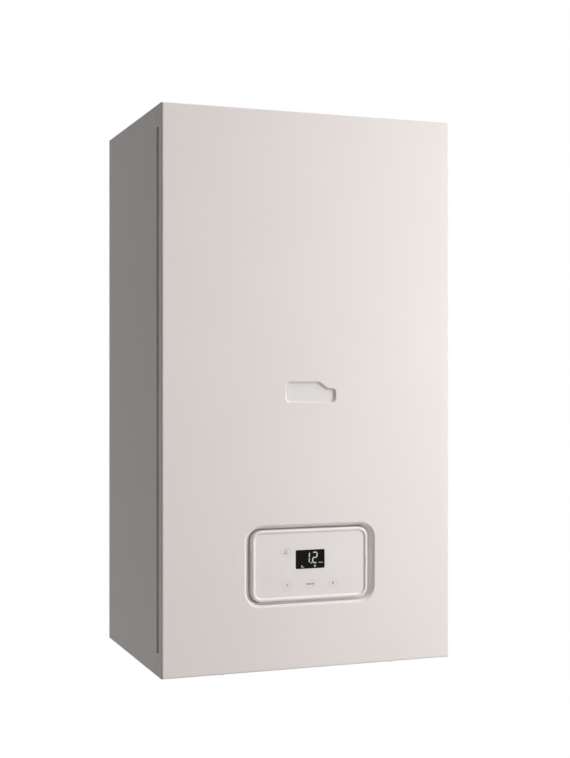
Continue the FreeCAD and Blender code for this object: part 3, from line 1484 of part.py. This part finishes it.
def condensate_siphon():
    r = siphon_r
    profile = [(0, sheet), (0.6 * r, sheet), (0.8 * r, 16), (0.9 * r, 36), (0.9 * r, 60), (r, 62), (r, 76),
               (0.85 * r, 78),
               (0.85 * r, siphon_top - 30), (10, siphon_top - 16), (10, siphon_top), (0, siphon_top)]
    body = turned(profile, (siphon_x, siphon_y, 0), (0, 0, 1))
    tail = turned([(0, -drain_drop), (drain_r, -drain_drop), (drain_r, -3), (drain_r + 0.7, -2.3),
                   (drain_r + 0.7, 4), (0, 4)],
                  (siphon_x, siphon_y, 0), (0, 0, 1))
    body = body.fuse(tail)
    return body.cut(rod(drain_r - 2, (siphon_x, siphon_y, -drain_drop - 1),
                        (siphon_x, siphon_y, 40))).removeSplitter()


nodes["left_side_panel"] = side_panel().mirror(V(0, 0, 0), V(1, 0, 0))
nodes["right_side_panel"] = side_panel()
nodes["top_panel"] = top_panel()
nodes["base_plate"] = base_plate()
nodes["back_frame"] = back_frame()
nodes["wall_bracket"] = wall_bracket()
nodes["carrier_brackets"] = Part.Compound([vessel_brackets(), exchanger_bracket(), control_box_arms()])
nodes["front_cover"] = front_cover()
nodes["cover_seal"] = cover_seal()
nodes["locating_pins"] = locating_pins()
nodes["pin_grommets"] = pin_grommets()
nodes["cover_screws"] = Part.Compound([cover_screws(), cover_screw_nuts()])
nodes["badge_plate"] = badge_plate()
nodes["fascia"] = fascia()
for name, place in key_places().items():
    nodes[name] = key(*place)
nodes["display_board"] = display_board()
nodes["display_window"] = display_window()
nodes["control_box"] = control_box()
nodes["control_box_lid"] = control_box_lid()
nodes["main_board"] = main_board()
nodes["mains_cable_gland"] = mains_cable_gland()
nodes["expansion_vessel"] = Part.Compound([vessel_shell(1), vessel_front_shell()])
nodes["vessel_hose"] = vessel_hose()
nodes["exchanger_shell"] = exchanger_shell()
nodes["exchanger_coil"] = exchanger_coil()
nodes["burner_door"] = burner_door()
nodes["door_nuts"] = door_nuts()
nodes["burner_tube"] = burner_tube()
nodes["electrodes"] = Part.Compound([electrode(*place) for place in electrode_places()])
nodes["mixture_manifold"] = mixture_manifold()
nodes["fan_housing"] = fan_housing()
nodes["fan_impeller"] = fan_impeller()
nodes["fan_motor"] = fan_motor()
nodes["mixing_venturi"] = mixing_venturi()
nodes["gas_valve"] = gas_valve()
nodes["gas_valve_coils"] = gas_valve_coils()
nodes["gas_pipe"] = gas_pipe()
nodes["ignition_transformer"] = ignition_transformer()
nodes["flue_duct"] = flue_duct()
nodes["flue_adapter"] = flue_adapter()
nodes["flow_block"] = flow_block()
nodes["return_block"] = return_block()
nodes["plate_heat_exchanger"] = plate_heat_exchanger()
nodes["pump_housing"] = pump_housing()
nodes["pump_motor"] = pump_motor()
nodes["pump_impeller"] = pump_impeller()
nodes["exchanger_pipes"] = Part.Compound([flow_pipe(), return_pipe()])
nodes["heating_unions"] = Part.Compound([plain_union(-1), plain_union(1)])
nodes["tap_water_pipes"] = Part.Compound([water_pipe(-1), join(water_pipe(1), filling_tap())])
nodes["diverter_actuator"] = diverter_actuator()
nodes["diverter_spindle"] = diverter_spindle()
nodes["safety_valve"] = safety_valve()
nodes["safety_valve_knob"] = safety_valve_knob()
nodes["filling_tap_handle"] = filling_tap_handle()
nodes["air_vent"] = air_vent()
nodes["condensate_hose"] = condensate_hose()
nodes["condensate_siphon"] = condensate_siphon()

os.makedirs("parts", exist_ok=True)
for name, shape in nodes.items():
    shape.exportStep("parts/" + name + ".step")
    print(name, len(shape.Solids), shape.isValid(), round(shape.Volume / 1000, 1))
print(len(nodes), "nodes")
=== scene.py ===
import json
import math
import bpy
import numpy as np
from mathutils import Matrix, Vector


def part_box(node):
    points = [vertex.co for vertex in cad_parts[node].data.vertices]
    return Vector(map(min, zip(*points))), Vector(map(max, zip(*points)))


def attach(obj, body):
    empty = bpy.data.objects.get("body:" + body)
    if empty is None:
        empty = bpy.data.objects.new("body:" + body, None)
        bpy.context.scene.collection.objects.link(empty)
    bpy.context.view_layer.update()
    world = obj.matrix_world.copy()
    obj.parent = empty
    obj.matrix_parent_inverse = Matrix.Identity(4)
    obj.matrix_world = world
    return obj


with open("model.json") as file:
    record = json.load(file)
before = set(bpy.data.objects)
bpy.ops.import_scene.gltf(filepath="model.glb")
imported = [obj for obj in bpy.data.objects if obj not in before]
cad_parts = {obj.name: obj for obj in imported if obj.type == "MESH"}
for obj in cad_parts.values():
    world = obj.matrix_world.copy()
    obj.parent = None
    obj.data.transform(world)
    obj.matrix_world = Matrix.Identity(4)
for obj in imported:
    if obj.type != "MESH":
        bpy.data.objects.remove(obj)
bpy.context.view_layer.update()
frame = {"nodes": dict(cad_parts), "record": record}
nodes = frame["nodes"]
print("frame loaded", len(nodes))

mmPerMetre = 1000
mm = 1 / mmPerMetre


def linear(hexText):
    # sRGB hex to linear: low values over 12.92, the rest by the 2.4 power curve
    channels = [int(hexText[i:i + 2], 16) / 255 for i in (1, 3, 5)]
    return tuple(c / 12.92 if c <= 0.04045 else ((c + 0.055) / 1.055) ** 2.4 for c in channels) + (1.0,)


def addNode(tree, kind, inputs=None, **settings):
    # Settings go on the node itself; an input is a link where it is given a socket, and else a fixed value
    node = tree.nodes.new(kind)
    for key, value in settings.items():
        setattr(node, key, value)
    for key, value in (inputs or {}).items():
        if isinstance(value, bpy.types.NodeSocket):
            tree.links.new(value, node.inputs[key])
        else:
            node.inputs[key].default_value = value
    return node


# Level camera, fitted to the casing's corners in the photograph; place and nearest are in metres
cameraFit = {
    "place": (-0.651, -1.959, 0.385), "headingDeg": 20.31, "lensMm": 63.5, "sensorMm": 36, "nearest": 0.05,
}


def makeCamera():
    camera = bpy.data.objects.new("camera", bpy.data.cameras.new("camera"))
    bpy.context.scene.collection.objects.link(camera)
    camera.location = cameraFit["place"]
    camera.rotation_euler = (math.pi / 2, 0, -math.radians(cameraFit["headingDeg"]))
    camera.data.sensor_width = cameraFit["sensorMm"]
    camera.data.lens = cameraFit["lensMm"]
    camera.data.clip_start = cameraFit["nearest"]
    bpy.context.scene.camera = camera


makeCamera()


# Patterns: each gives the sockets that drive a finish's tone, gloss and relief, with sizes in mm

def grained(tree, look):
    # A noise for each, given as its size and detail; stretch draws out the grain but not the tone
    where = addNode(tree, "ShaderNodeTexCoord").outputs["Object"]
    along = where
    if "stretch" in look:
        along = addNode(tree, "ShaderNodeMapping", {"Vector": where, "Scale": look["stretch"]}).outputs[0]
    drive = {}
    for use, point in (("tone", where), ("gloss", along), ("relief", along)):
        if use in look:
            size, detail = look[use]
            noise = {"Vector": point, "Scale": mmPerMetre / size, "Detail": detail}
            drive[use] = addNode(tree, "ShaderNodeTexNoise", noise).outputs[0]
    return drive


def spangled(tree, look):
    # Crystal cells with feathered edges: a noise shifts each point by up to reach before the cells are drawn
    drive = grained(tree, look)
    where = addNode(tree, "ShaderNodeTexCoord").outputs["Object"]
    size, detail = look["feather"]
    noise = {"Vector": where, "Scale": mmPerMetre / size, "Detail": detail}
    feather = addNode(tree, "ShaderNodeTexNoise", noise).outputs["Color"]
    shift = {0: feather, 1: (look["reach"] * mm,) * 3, 2: where}
    moved = addNode(tree, "ShaderNodeVectorMath", shift, operation="MULTIPLY_ADD").outputs[0]
    crystals = {"Vector": moved, "Scale": mmPerMetre / look["spangle"]}
    cells = addNode(tree, "ShaderNodeTexVoronoi", crystals).outputs["Color"]
    drive["tone"] = addNode(tree, "ShaderNodeSeparateColor", {"Color": cells}).outputs[0]
    drive["gloss"] = drive["tone"]
    return drive


def cellsWithPaintedShade(tree, look):
    # Packed round cells, deep at their centres, with painted shade: the tone darkens towards each centre
    where = addNode(tree, "ShaderNodeTexCoord").outputs["Object"]
    cells = {"Vector": where, "Scale": mmPerMetre / look["cell"]}
    depth = addNode(tree, "ShaderNodeTexVoronoi", cells).outputs["Distance"]
    # The same distance drives tone, gloss and relief, so the painted shade sits in the pits
    return {"tone": depth, "gloss": depth, "relief": depth}


def tracked(tree, look):
    # Square-edged cells drawn out upwards stand for copper areas, with a narrow gap round each
    drive = grained(tree, look)
    where = addNode(tree, "ShaderNodeTexCoord").outputs["Object"]
    drawn = addNode(tree, "ShaderNodeMapping", {"Vector": where, "Scale": look["stretch"]}).outputs[0]
    cells = {"Vector": drawn, "Scale": mmPerMetre / look["track"]}
    shape = {"distance": "CHEBYCHEV", "feature": "DISTANCE_TO_EDGE"}
    edge = addNode(tree, "ShaderNodeTexVoronoi", cells, **shape).outputs[0]
    low, high = look["gap"]
    rise = {"Value": edge, "From Min": low, "From Max": high}
    lifted = addNode(tree, "ShaderNodeMapRange", rise).outputs[0]
    drive.update({"tone": lifted, "relief": lifted})
    return drive


noiseRange = (0.3, 0.7)  # nearly all of a noise lies between these


def dress(look):
    # Tone runs from dark to light, roughness between its two values, and relief lifts the surface by depth
    material = bpy.data.materials.new(look["name"])
    material.use_nodes = True
    tree = material.node_tree
    tree.nodes.clear()
    drive = look["pattern"](tree, look)
    ramp = addNode(tree, "ShaderNodeValToRGB", {"Fac": drive.pop("tone")})
    for element, place, colour in zip(ramp.color_ramp.elements, noiseRange, ("dark", "light")):
        element.position = place
        element.color = linear(look[colour])
    (low, high), (smooth, matt) = noiseRange, look["rough"]
    spread = {"From Min": low, "From Max": high, "To Min": smooth, "To Max": matt}
    rough = addNode(tree, "ShaderNodeMapRange", {"Value": drive.pop("gloss"), **spread})
    inputs = {"Base Color": ramp.outputs[0], "Roughness": rough.outputs[0]}
    if "relief" in drive:
        lift = {"Height": drive.pop("relief"), "Distance": look["depth"] * mm, "Strength": 1.0}
        inputs["Normal"] = addNode(tree, "ShaderNodeBump", lift).outputs[0]
    shader = addNode(tree, "ShaderNodeBsdfPrincipled", {**inputs, **drive, **look.get("shader", {})})
    addNode(tree, "ShaderNodeOutputMaterial", {"Surface": shader.outputs[0]})
    return material


# What the real materials have in common, by how they were made

powderCoat = {  # baked paint: colour drifts over a hand's width, orange peel at a millimetre or two
    "pattern": grained, "tone": (160, 2), "gloss": (6, 3), "relief": (1.7, 2), "depth": 0.012,
    "rough": (0.42, 0.5), "shader": {"Specular IOR Level": 0.25},
}
mouldedPlastic = {  # spark-eroded mould grain, with a slow change of tone from the flow of the melt
    "pattern": grained, "tone": (45, 3), "gloss": (3, 3), "relief": (0.6, 2), "depth": 0.012,
    "rough": (0.34, 0.46),
}
drawnMetal = {  # fine lines along the working direction
    "pattern": grained, "tone": (22, 4), "gloss": (0.8, 4), "relief": (0.8, 4), "depth": 0.006,
    "stretch": (1, 1, 0.05), "rough": (0.22, 0.38), "shader": {"Metallic": 1.0},
}
castMetal = {  # pitted skin with a cloudy tone
    "pattern": grained, "tone": (14, 5), "gloss": (2, 4), "relief": (0.9, 4), "depth": 0.05,
    "rough": (0.42, 0.6), "shader": {"Metallic": 0.9},
}
polished = {  # almost even, with a slight waviness
    "pattern": grained, "tone": (12, 2), "gloss": (4, 2), "relief": (9, 1), "depth": 0.006,
}
printInk = {  # dense ink with the slight mottle of a screen print
    "pattern": grained, "tone": (0.6, 2), "gloss": (0.4, 2), "rough": (0.5, 0.6),
}
fascia = {**mouldedPlastic, "relief": (0.35, 2), "depth": 0.006, "rough": (0.3, 0.38)}

looks = {
    "casing_paint": {  # warm white with an even satin sheen
        **powderCoat, "name": "powder_coated_steel", "dark": "#f2edea", "light": "#f4f0ed",
    },
    "badge_blank": {  # a touch smoother than the casing round it
        **powderCoat, "name": "lacquered_badge_plate", "dark": "#eeedea", "light": "#f2f1ee",
        "relief": (0.9, 2), "depth": 0.006, "rough": (0.36, 0.42),
    },
    "vessel_paint": {  # thicker and glossier, with slow waves where the dip ran off
        **powderCoat, "name": "dipped_red_vessel_paint", "dark": "#8f342d", "light": "#a03c34",
        "relief": (2.5, 2), "depth": 0.02, "rough": (0.28, 0.38),
    },
    "chassis_steel": {  # hot-dip zinc: crystal spangles, each with its own tone and gloss
        "pattern": spangled, "name": "hot_dip_zinc_sheet", "dark": "#b0b3b6", "light": "#bbbec0",
        "spangle": 6, "feather": (4, 4), "reach": 6, "relief": (1.5, 3), "depth": 0.008,
        "rough": (0.4, 0.5), "shader": {"Metallic": 0.85},
    },
    "fascia_plastic": {  # fine satin, close to the casing in tone
        **fascia, "name": "moulded_satin_asa", "dark": "#eeebe9", "light": "#f2efed",
    },
    "key_plastic": {  # from the same resin as the fascia
        **fascia, "name": "moulded_satin_asa_key", "dark": "#eeebe9", "light": "#f2efed",
    },
    "display_glass": {  # near black, with little glare
        **polished, "name": "smoked_acrylic_window", "dark": "#0c0c0a", "light": "#10100e",
        "rough": (0.16, 0.24), "shader": {"Specular IOR Level": 0.08},
    },
    "dark_plastic": {  # coarse matt grain
        **mouldedPlastic, "name": "moulded_grey_black_pa", "dark": "#303235", "light": "#3b3d40",
        "relief": (0.8, 2), "depth": 0.02, "rough": (0.42, 0.55),
    },
    "grey_plastic": {  # coarse matt grain, in mid grey
        **mouldedPlastic, "name": "moulded_grey_abs", "dark": "#8a8f93", "light": "#979c9f",
        "relief": (0.8, 2), "depth": 0.02, "rough": (0.4, 0.52),
    },
    "flue_plastic": {  # slightly waxy and creamy white
        **mouldedPlastic, "name": "moulded_white_pp", "dark": "#dfddd6", "light": "#e9e7e1",
        "relief": (1.2, 2), "depth": 0.015, "rough": (0.36, 0.46),
    },
    "red_plastic": {  # satin, deep red
        **mouldedPlastic, "name": "moulded_red_abs", "dark": "#a32822", "light": "#b8332c",
    },
    "blue_plastic": {  # satin, deep blue
        **mouldedPlastic, "name": "moulded_blue_abs", "dark": "#27568f", "light": "#3267a6",
    },
    "board_laminate": {  # lacquer over copper tracks that run in steps of about two millimetres
        "pattern": tracked, "name": "lacquered_circuit_board", "dark": "#2a6a40", "light": "#1f5433",
        "track": 2.4, "gap": (0.05, 0.12), "stretch": (1, 1, 0.35), "gloss": (5, 3), "depth": 0.03,
        "rough": (0.22, 0.32),
    },
    "black_rubber": {  # matt and slightly dusty, with a fine grain
        "pattern": grained, "name": "moulded_epdm", "dark": "#1e1e1e", "light": "#2a2a2a",
        "tone": (8, 5), "gloss": (4, 3), "relief": (0.7, 3), "depth": 0.02, "rough": (0.62, 0.78),
    },
    "seal_foam": {  # closed-cell foam: packed cells of about a millimetre; the dark colour is painted shade in their centres
        "pattern": cellsWithPaintedShade, "name": "closed_cell_foam", "dark": "#3a3a3a", "light": "#515151",
        "cell": 1.1, "depth": 0.15, "rough": (0.9, 0.78),
    },
    "stainless_steel": {  # bright, with rolling lines from front to back
        **drawnMetal, "name": "rolled_stainless_steel", "dark": "#b4b5b5", "light": "#c8c9c9",
        "gloss": (0.6, 4), "relief": (0.6, 4), "stretch": (1, 0.04, 1), "rough": (0.24, 0.36),
    },
    "copper_tube": {  # warm and bright, with drawing lines upwards
        **drawnMetal, "name": "drawn_copper_tube", "dark": "#a96443", "light": "#c58660",
    },
    "steel_tube": {  # yellow passivation, a little duller than brass
        **drawnMetal, "name": "passivated_steel_tube", "dark": "#b8923c", "light": "#d1ab52",
        "gloss": (0.9, 4), "relief": (0.9, 4), "rough": (0.3, 0.44),
    },
    "zinc_fasteners": {  # bright plating with a fine grain and no direction
        **drawnMetal, "name": "zinc_plated_steel", "dark": "#b7b5aa", "light": "#cdcbc2",
        "gloss": (0.5, 4), "relief": (0.5, 4), "stretch": (1, 1, 1), "rough": (0.25, 0.38),
    },
    "cast_aluminium": {  # dull silver, cloudy
        **castMetal, "name": "die_cast_aluminium", "dark": "#a5a8aa", "light": "#b3b6b8",
    },
    "turned_brass": {  # smoother than a casting, golden
        **castMetal, "name": "hot_pressed_brass", "dark": "#b08d45", "light": "#c9a65c",
        "relief": (0.7, 4), "depth": 0.025, "rough": (0.3, 0.45), "shader": {"Metallic": 1.0},
    },
    "pump_iron": {  # thin black coat over a rough casting
        **castMetal, "name": "cataphoretic_cast_iron", "dark": "#34373a", "light": "#45484b",
        "relief": (1.3, 4), "depth": 0.08, "rough": (0.4, 0.55), "shader": {"Metallic": 0.3},
    },
    "electrode_ceramic": {  # cream, with a clear glaze
        **polished, "name": "glazed_alumina", "dark": "#e2dccf", "light": "#eee8dc",
        "rough": (0.12, 0.2), "shader": {"Coat Weight": 0.4},
    },
}
finishes = {slot: dress(look) for slot, look in looks.items()}
for part in frame["record"]["subparts"]:
    mesh = nodes[part["node"]].data
    mesh.materials.clear()
    mesh.materials.append(finishes[part["material_slot"]])
ink = dress({**printInk, "name": "screen_print_grey", "dark": "#938e8a", "light": "#9c9793"})
segment = dress({
    **printInk, "name": "lcd_segment", "dark": "#bfbfbc", "light": "#c6c6c3",
    "shader": {"Emission Color": linear("#c6c6c3"), "Emission Strength": 0.2},
})
print("materials", len(bpy.data.materials))


# Marks on the keys and in the display, as thin raised prints

printMm = 0.03


def printMesh(name, outlines, frontY, body, material):
    # Each outline is a closed polygon of (x, z) in mm, lifted by printMm towards the front
    points = []
    faces = []
    start = 0
    for ring in outlines:
        after = np.roll(ring, -1, axis=0)
        if np.sum(ring[:, 0] * after[:, 1] - after[:, 0] * ring[:, 1]) < 0:
            ring = ring[::-1]
        count = len(ring)
        front = np.arange(start, start + count)
        ahead = np.roll(front, -1)
        for y in (frontY - printMm, frontY):
            points.append(np.column_stack([ring[:, 0], np.full(count, y), ring[:, 1]]) * mm)
        faces.append(front.tolist())
        faces.append((front[::-1] + count).tolist())
        faces.extend(np.column_stack([front, front + count, ahead + count, ahead]).tolist())
        start += 2 * count
    mesh = bpy.data.meshes.new(name)
    mesh.from_pydata(np.vstack(points).tolist(), [], faces)
    mesh.update()
    mesh.materials.append(material)
    piece = bpy.data.objects.new(name, mesh)
    bpy.context.scene.collection.objects.link(piece)
    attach(piece, body)


def stroke(points, width):
    # Band of even width along an open line: square ends, mitred bends
    line = np.array(points, float)
    step = np.diff(line, axis=0)
    step /= np.linalg.norm(step, axis=1, keepdims=True)
    normal = np.column_stack([-step[:, 1], step[:, 0]])
    bend = (normal[:-1] + normal[1:]) / (1 + np.sum(normal[:-1] * normal[1:], axis=1, keepdims=True))
    side = np.vstack([normal[:1], bend, normal[-1:]]) * width / 2
    return np.vstack([line + side, (line - side)[::-1]])


def disc(radius, count=20):
    # Points at even turns on a circle
    turn = np.linspace(0, 2 * math.pi, count, endpoint=False)
    return np.column_stack([radius * np.cos(turn), radius * np.sin(turn)])


flameForm = {"points": 28, "taper": 0.75, "taperPower": 1.5, "lean": 0.05}


def flame(height, girth=0.32):
    # Teardrop: a circle's width shrinks with the height above its foot, and the tip leans a little
    form = flameForm
    turn = np.linspace(-0.5 * math.pi, 1.5 * math.pi, form["points"], endpoint=False)
    lift = (1 + np.sin(turn)) / 2
    width = girth * height * np.cos(turn) * (1 - form["taper"] * lift ** form["taperPower"])
    return np.column_stack([width + form["lean"] * height * lift ** 2, height * (lift - 0.5)])


def flameLine(height, girth, width):
    # The same teardrop drawn as a line, in a right and a left half
    ring = flame(height, girth)
    half = len(ring) // 2
    return [stroke(ring[:half + 1], width), stroke(np.vstack([ring[half:], ring[:1]]), width)]


def sevenSegment(lit, width, height, thick, lean, gap):
    # Slim hexagonal bars on the lines of a figure eight, each shorter by a gap at its ends, sheared by lean
    w = width / 2 - thick / 2
    h = height / 2 - thick / 2
    ends = {"a": ((-w, h), (w, h)), "b": ((w, h), (w, 0)), "c": ((w, 0), (w, -h)), "d": ((-w, -h), (w, -h)),
            "e": ((-w, 0), (-w, -h)), "f": ((-w, h), (-w, 0)), "g": ((-w, 0), (w, 0))}
    bars = []
    for key in lit:
        a = np.array(ends[key][0])
        b = np.array(ends[key][1])
        along = (b - a) / np.linalg.norm(b - a)
        across = np.array([-along[1], along[0]]) * thick / 2
        a = a + along * gap
        b = b - along * gap
        tip = along * thick / 2
        bar = [a, a + tip + across, b - tip + across, b, b - tip - across, a + tip - across]
        bars.append(np.array(bar) @ np.array([[1, 0], [lean, 1]]))
    return bars


def faceOf(node):
    # Middle of a node's box in x and z, and its front in y, in mm
    low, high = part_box(node)
    return (low.x + high.x) / 2 / mm, low.y / mm, (low.z + high.z) / 2 / mm


# Lines in mm about each key's centre
keyMarks = {
    "key_reset": {"body": "reset_key", "width": 0.75, "lines": [[(-2.4, -3.1), (2.4, -3.1)]],
                  "flame": {"height": 5.6, "girth": 0.42}, "flamePlace": (0, 0.5)},
    "key_left": {"body": "left_key", "width": 0.9, "lines": [[(1.3, 1.7), (-1.2, 0), (1.3, -1.7)]]},
    "key_mode": {"body": "middle_key", "width": 2.0,
                 "lines": [[(-5.1, 0), (-2.1, 0)], [(-1.5, 0), (1.5, 0)], [(2.1, 0), (5.1, 0)]]},
    "key_right": {"body": "right_key", "width": 1.4, "lines": [[(-1.1, 2.2), (1.2, 0), (-1.1, -2.2)]]},
}


def makeKeyMarks():
    for node, mark in keyMarks.items():
        outlines = [stroke(line, mark["width"]) for line in mark["lines"]]
        if "flame" in mark:
            halves = flameLine(width=mark["width"], **mark["flame"])
            outlines += [half + mark["flamePlace"] for half in halves]
        x, y, z = faceOf(node)
        printMesh("mark_" + node, [o + (x, z) for o in outlines], y, mark["body"], ink)


# Places in mm from the centre of the pane; a line is its width and its points
displayMarks = {
    "digit": {"width": 7.6, "height": 15.4, "thick": 1.55, "lean": 0.02, "gap": 0.25},
    "digits": [("bc", (-4.2, 1.9)), ("abged", (6.8, 1.9))],
    "dotRadius": 0.85,
    "dots": [(1.6, -5.2), (6.9, -10.4)],
    "flameHeight": 3.4,
    "flames": [(-11.9, -9.1)],
    "lines": [
        (1.0, [(12.4, -4.9), (14.1, -5.1)]),
        (1.0, [(14.6, -5.1), (16.0, -5.1)]),
        (1.0, [(16.5, -5.1), (17.8, -4.8)]),
        (0.7, [(-10.7, -10.4), (-8.8, -10.4)]),
        (0.75, [(5.4, -9.5), (6.9, -8.1), (8.4, -9.5)]),
    ],
}


def makeDisplay():
    look = displayMarks
    outlines = [bar + place for lit, place in look["digits"] for bar in sevenSegment(lit, **look["digit"])]
    outlines += [disc(look["dotRadius"]) + place for place in look["dots"]]
    outlines += [flame(look["flameHeight"]) + place for place in look["flames"]]
    outlines += [stroke(points, width) for width, points in look["lines"]]
    x, y, z = faceOf("display_window")
    printMesh("display_marks", [o + (x, z) for o in outlines], y, "casing", segment)


makeKeyMarks()
makeDisplay()
print("marks done")


# Stage: white surround, soft light from the right and from above

def shownRays(tree):
    # Gives 1 for the rays that see the white surround: from the camera, off metal and through glass
    path = addNode(tree, "ShaderNodeLightPath")
    shown = path.outputs["Is Camera Ray"]
    for ray in ("Is Glossy Ray", "Is Transmission Ray"):
        either = {0: shown, 1: path.outputs[ray]}
        shown = addNode(tree, "ShaderNodeMath", either, operation="MAXIMUM").outputs[0]
    return shown


def fadingFloor(tree, look):
    # Towards its rim the floor glows up to the white of the surround, so no edge shows
    drive = grained(tree, look)
    where = addNode(tree, "ShaderNodeTexCoord").outputs["Object"]
    flat = addNode(tree, "ShaderNodeMapping", {"Vector": where, "Scale": (1, 1, 0)}).outputs[0]
    out = addNode(tree, "ShaderNodeVectorMath", {0: flat}, operation="LENGTH").outputs["Value"]
    (near, far), (dim, full) = look["fade"], look["glow"]
    fade = {"Value": out, "From Min": near, "From Max": far, "To Min": dim, "To Max": full}
    rim = addNode(tree, "ShaderNodeMapRange", fade, interpolation_type="SMOOTHSTEP").outputs[0]
    glow = {0: shownRays(tree), 1: rim}
    drive["Emission Strength"] = addNode(tree, "ShaderNodeMath", glow, operation="MULTIPLY").outputs[0]
    return drive


# Lengths in metres. The key is near and low, so its light fades from right to left across the front;
# high lights the edges that face up, fill the front from the left, and overhead the top and the back
stage = {
    "floor": {"radius": 1.6, "height": -0.95, "sides": 96},
    "room": {"Color": (1, 0.895, 0.88, 1), "Strength": 0.096},
    "surround": {"Color": (1, 1, 1, 1), "Strength": 1.0},
    "aim": (0, -0.15, 0.37),
    "lamps": {
        "key": {"place": (1.2, -1.45, 0.52), "size": 1.0, "watts": 19.6, "colour": (1, 0.98, 0.98)},
        "high": {"place": (2.36, -2.5, 4.5), "size": 2.4, "watts": 98.4, "colour": (1, 0.98, 0.98)},
        "fill": {"place": (-0.3, -3.0, 1.0), "size": 1.6, "watts": 6.5, "colour": (1, 0.975, 0.965)},
        "overhead": {"place": (0.5, 1.1, 2.2), "size": 1.2, "watts": 13.0, "colour": (1, 0.98, 0.98)},
    },
}
floorLook = {  # pale and matt
    "pattern": fadingFloor, "name": "pale_floor", "dark": "#f2f2f1", "light": "#f6f6f5",
    "tone": (300, 2), "gloss": (40, 3), "relief": (4, 3), "depth": 0.05, "rough": (0.7, 0.85),
    "fade": (0.3, 1.5), "glow": (0.55, 1.0), "shader": {"Emission Color": (1, 1, 1, 1)},
}


def makeSurround(scene):
    # The camera, reflections and glass see white; the object is lit by the dimmer room
    scene.world = bpy.data.worlds.new("studio")
    scene.world.use_nodes = True
    tree = scene.world.node_tree
    tree.nodes.clear()
    room = addNode(tree, "ShaderNodeBackground", stage["room"])
    white = addNode(tree, "ShaderNodeBackground", stage["surround"])
    mix = {"Fac": shownRays(tree), 1: room.outputs[0], 2: white.outputs[0]}
    mixed = addNode(tree, "ShaderNodeMixShader", mix)
    addNode(tree, "ShaderNodeOutputWorld", {"Surface": mixed.outputs[0]})


def makeLamps(scene):
    for name, lamp in stage["lamps"].items():
        light = bpy.data.objects.new(name, bpy.data.lights.new(name, "AREA"))
        scene.collection.objects.link(light)
        light.data.size = lamp["size"]
        light.data.energy = lamp["watts"]
        light.data.color = lamp["colour"]
        light.location = lamp["place"]
        towards = Vector(stage["aim"]) - light.location
        light.rotation_euler = towards.to_track_quat("-Z", "Y").to_euler()


def makeFloor(scene):
    # One round face, well below the object
    size = stage["floor"]
    ring = disc(size["radius"], size["sides"])
    points = np.column_stack([ring, np.full(len(ring), size["height"])])
    mesh = bpy.data.meshes.new("floor")
    mesh.from_pydata(points.tolist(), [], [list(range(len(ring)))])
    mesh.materials.append(dress(floorLook))
    floor = bpy.data.objects.new("floor", mesh)
    scene.collection.objects.link(floor)


bpy.context.scene.view_settings.view_transform = "Standard"
makeSurround(bpy.context.scene)
makeLamps(bpy.context.scene)
makeFloor(bpy.context.scene)
print("stage done")
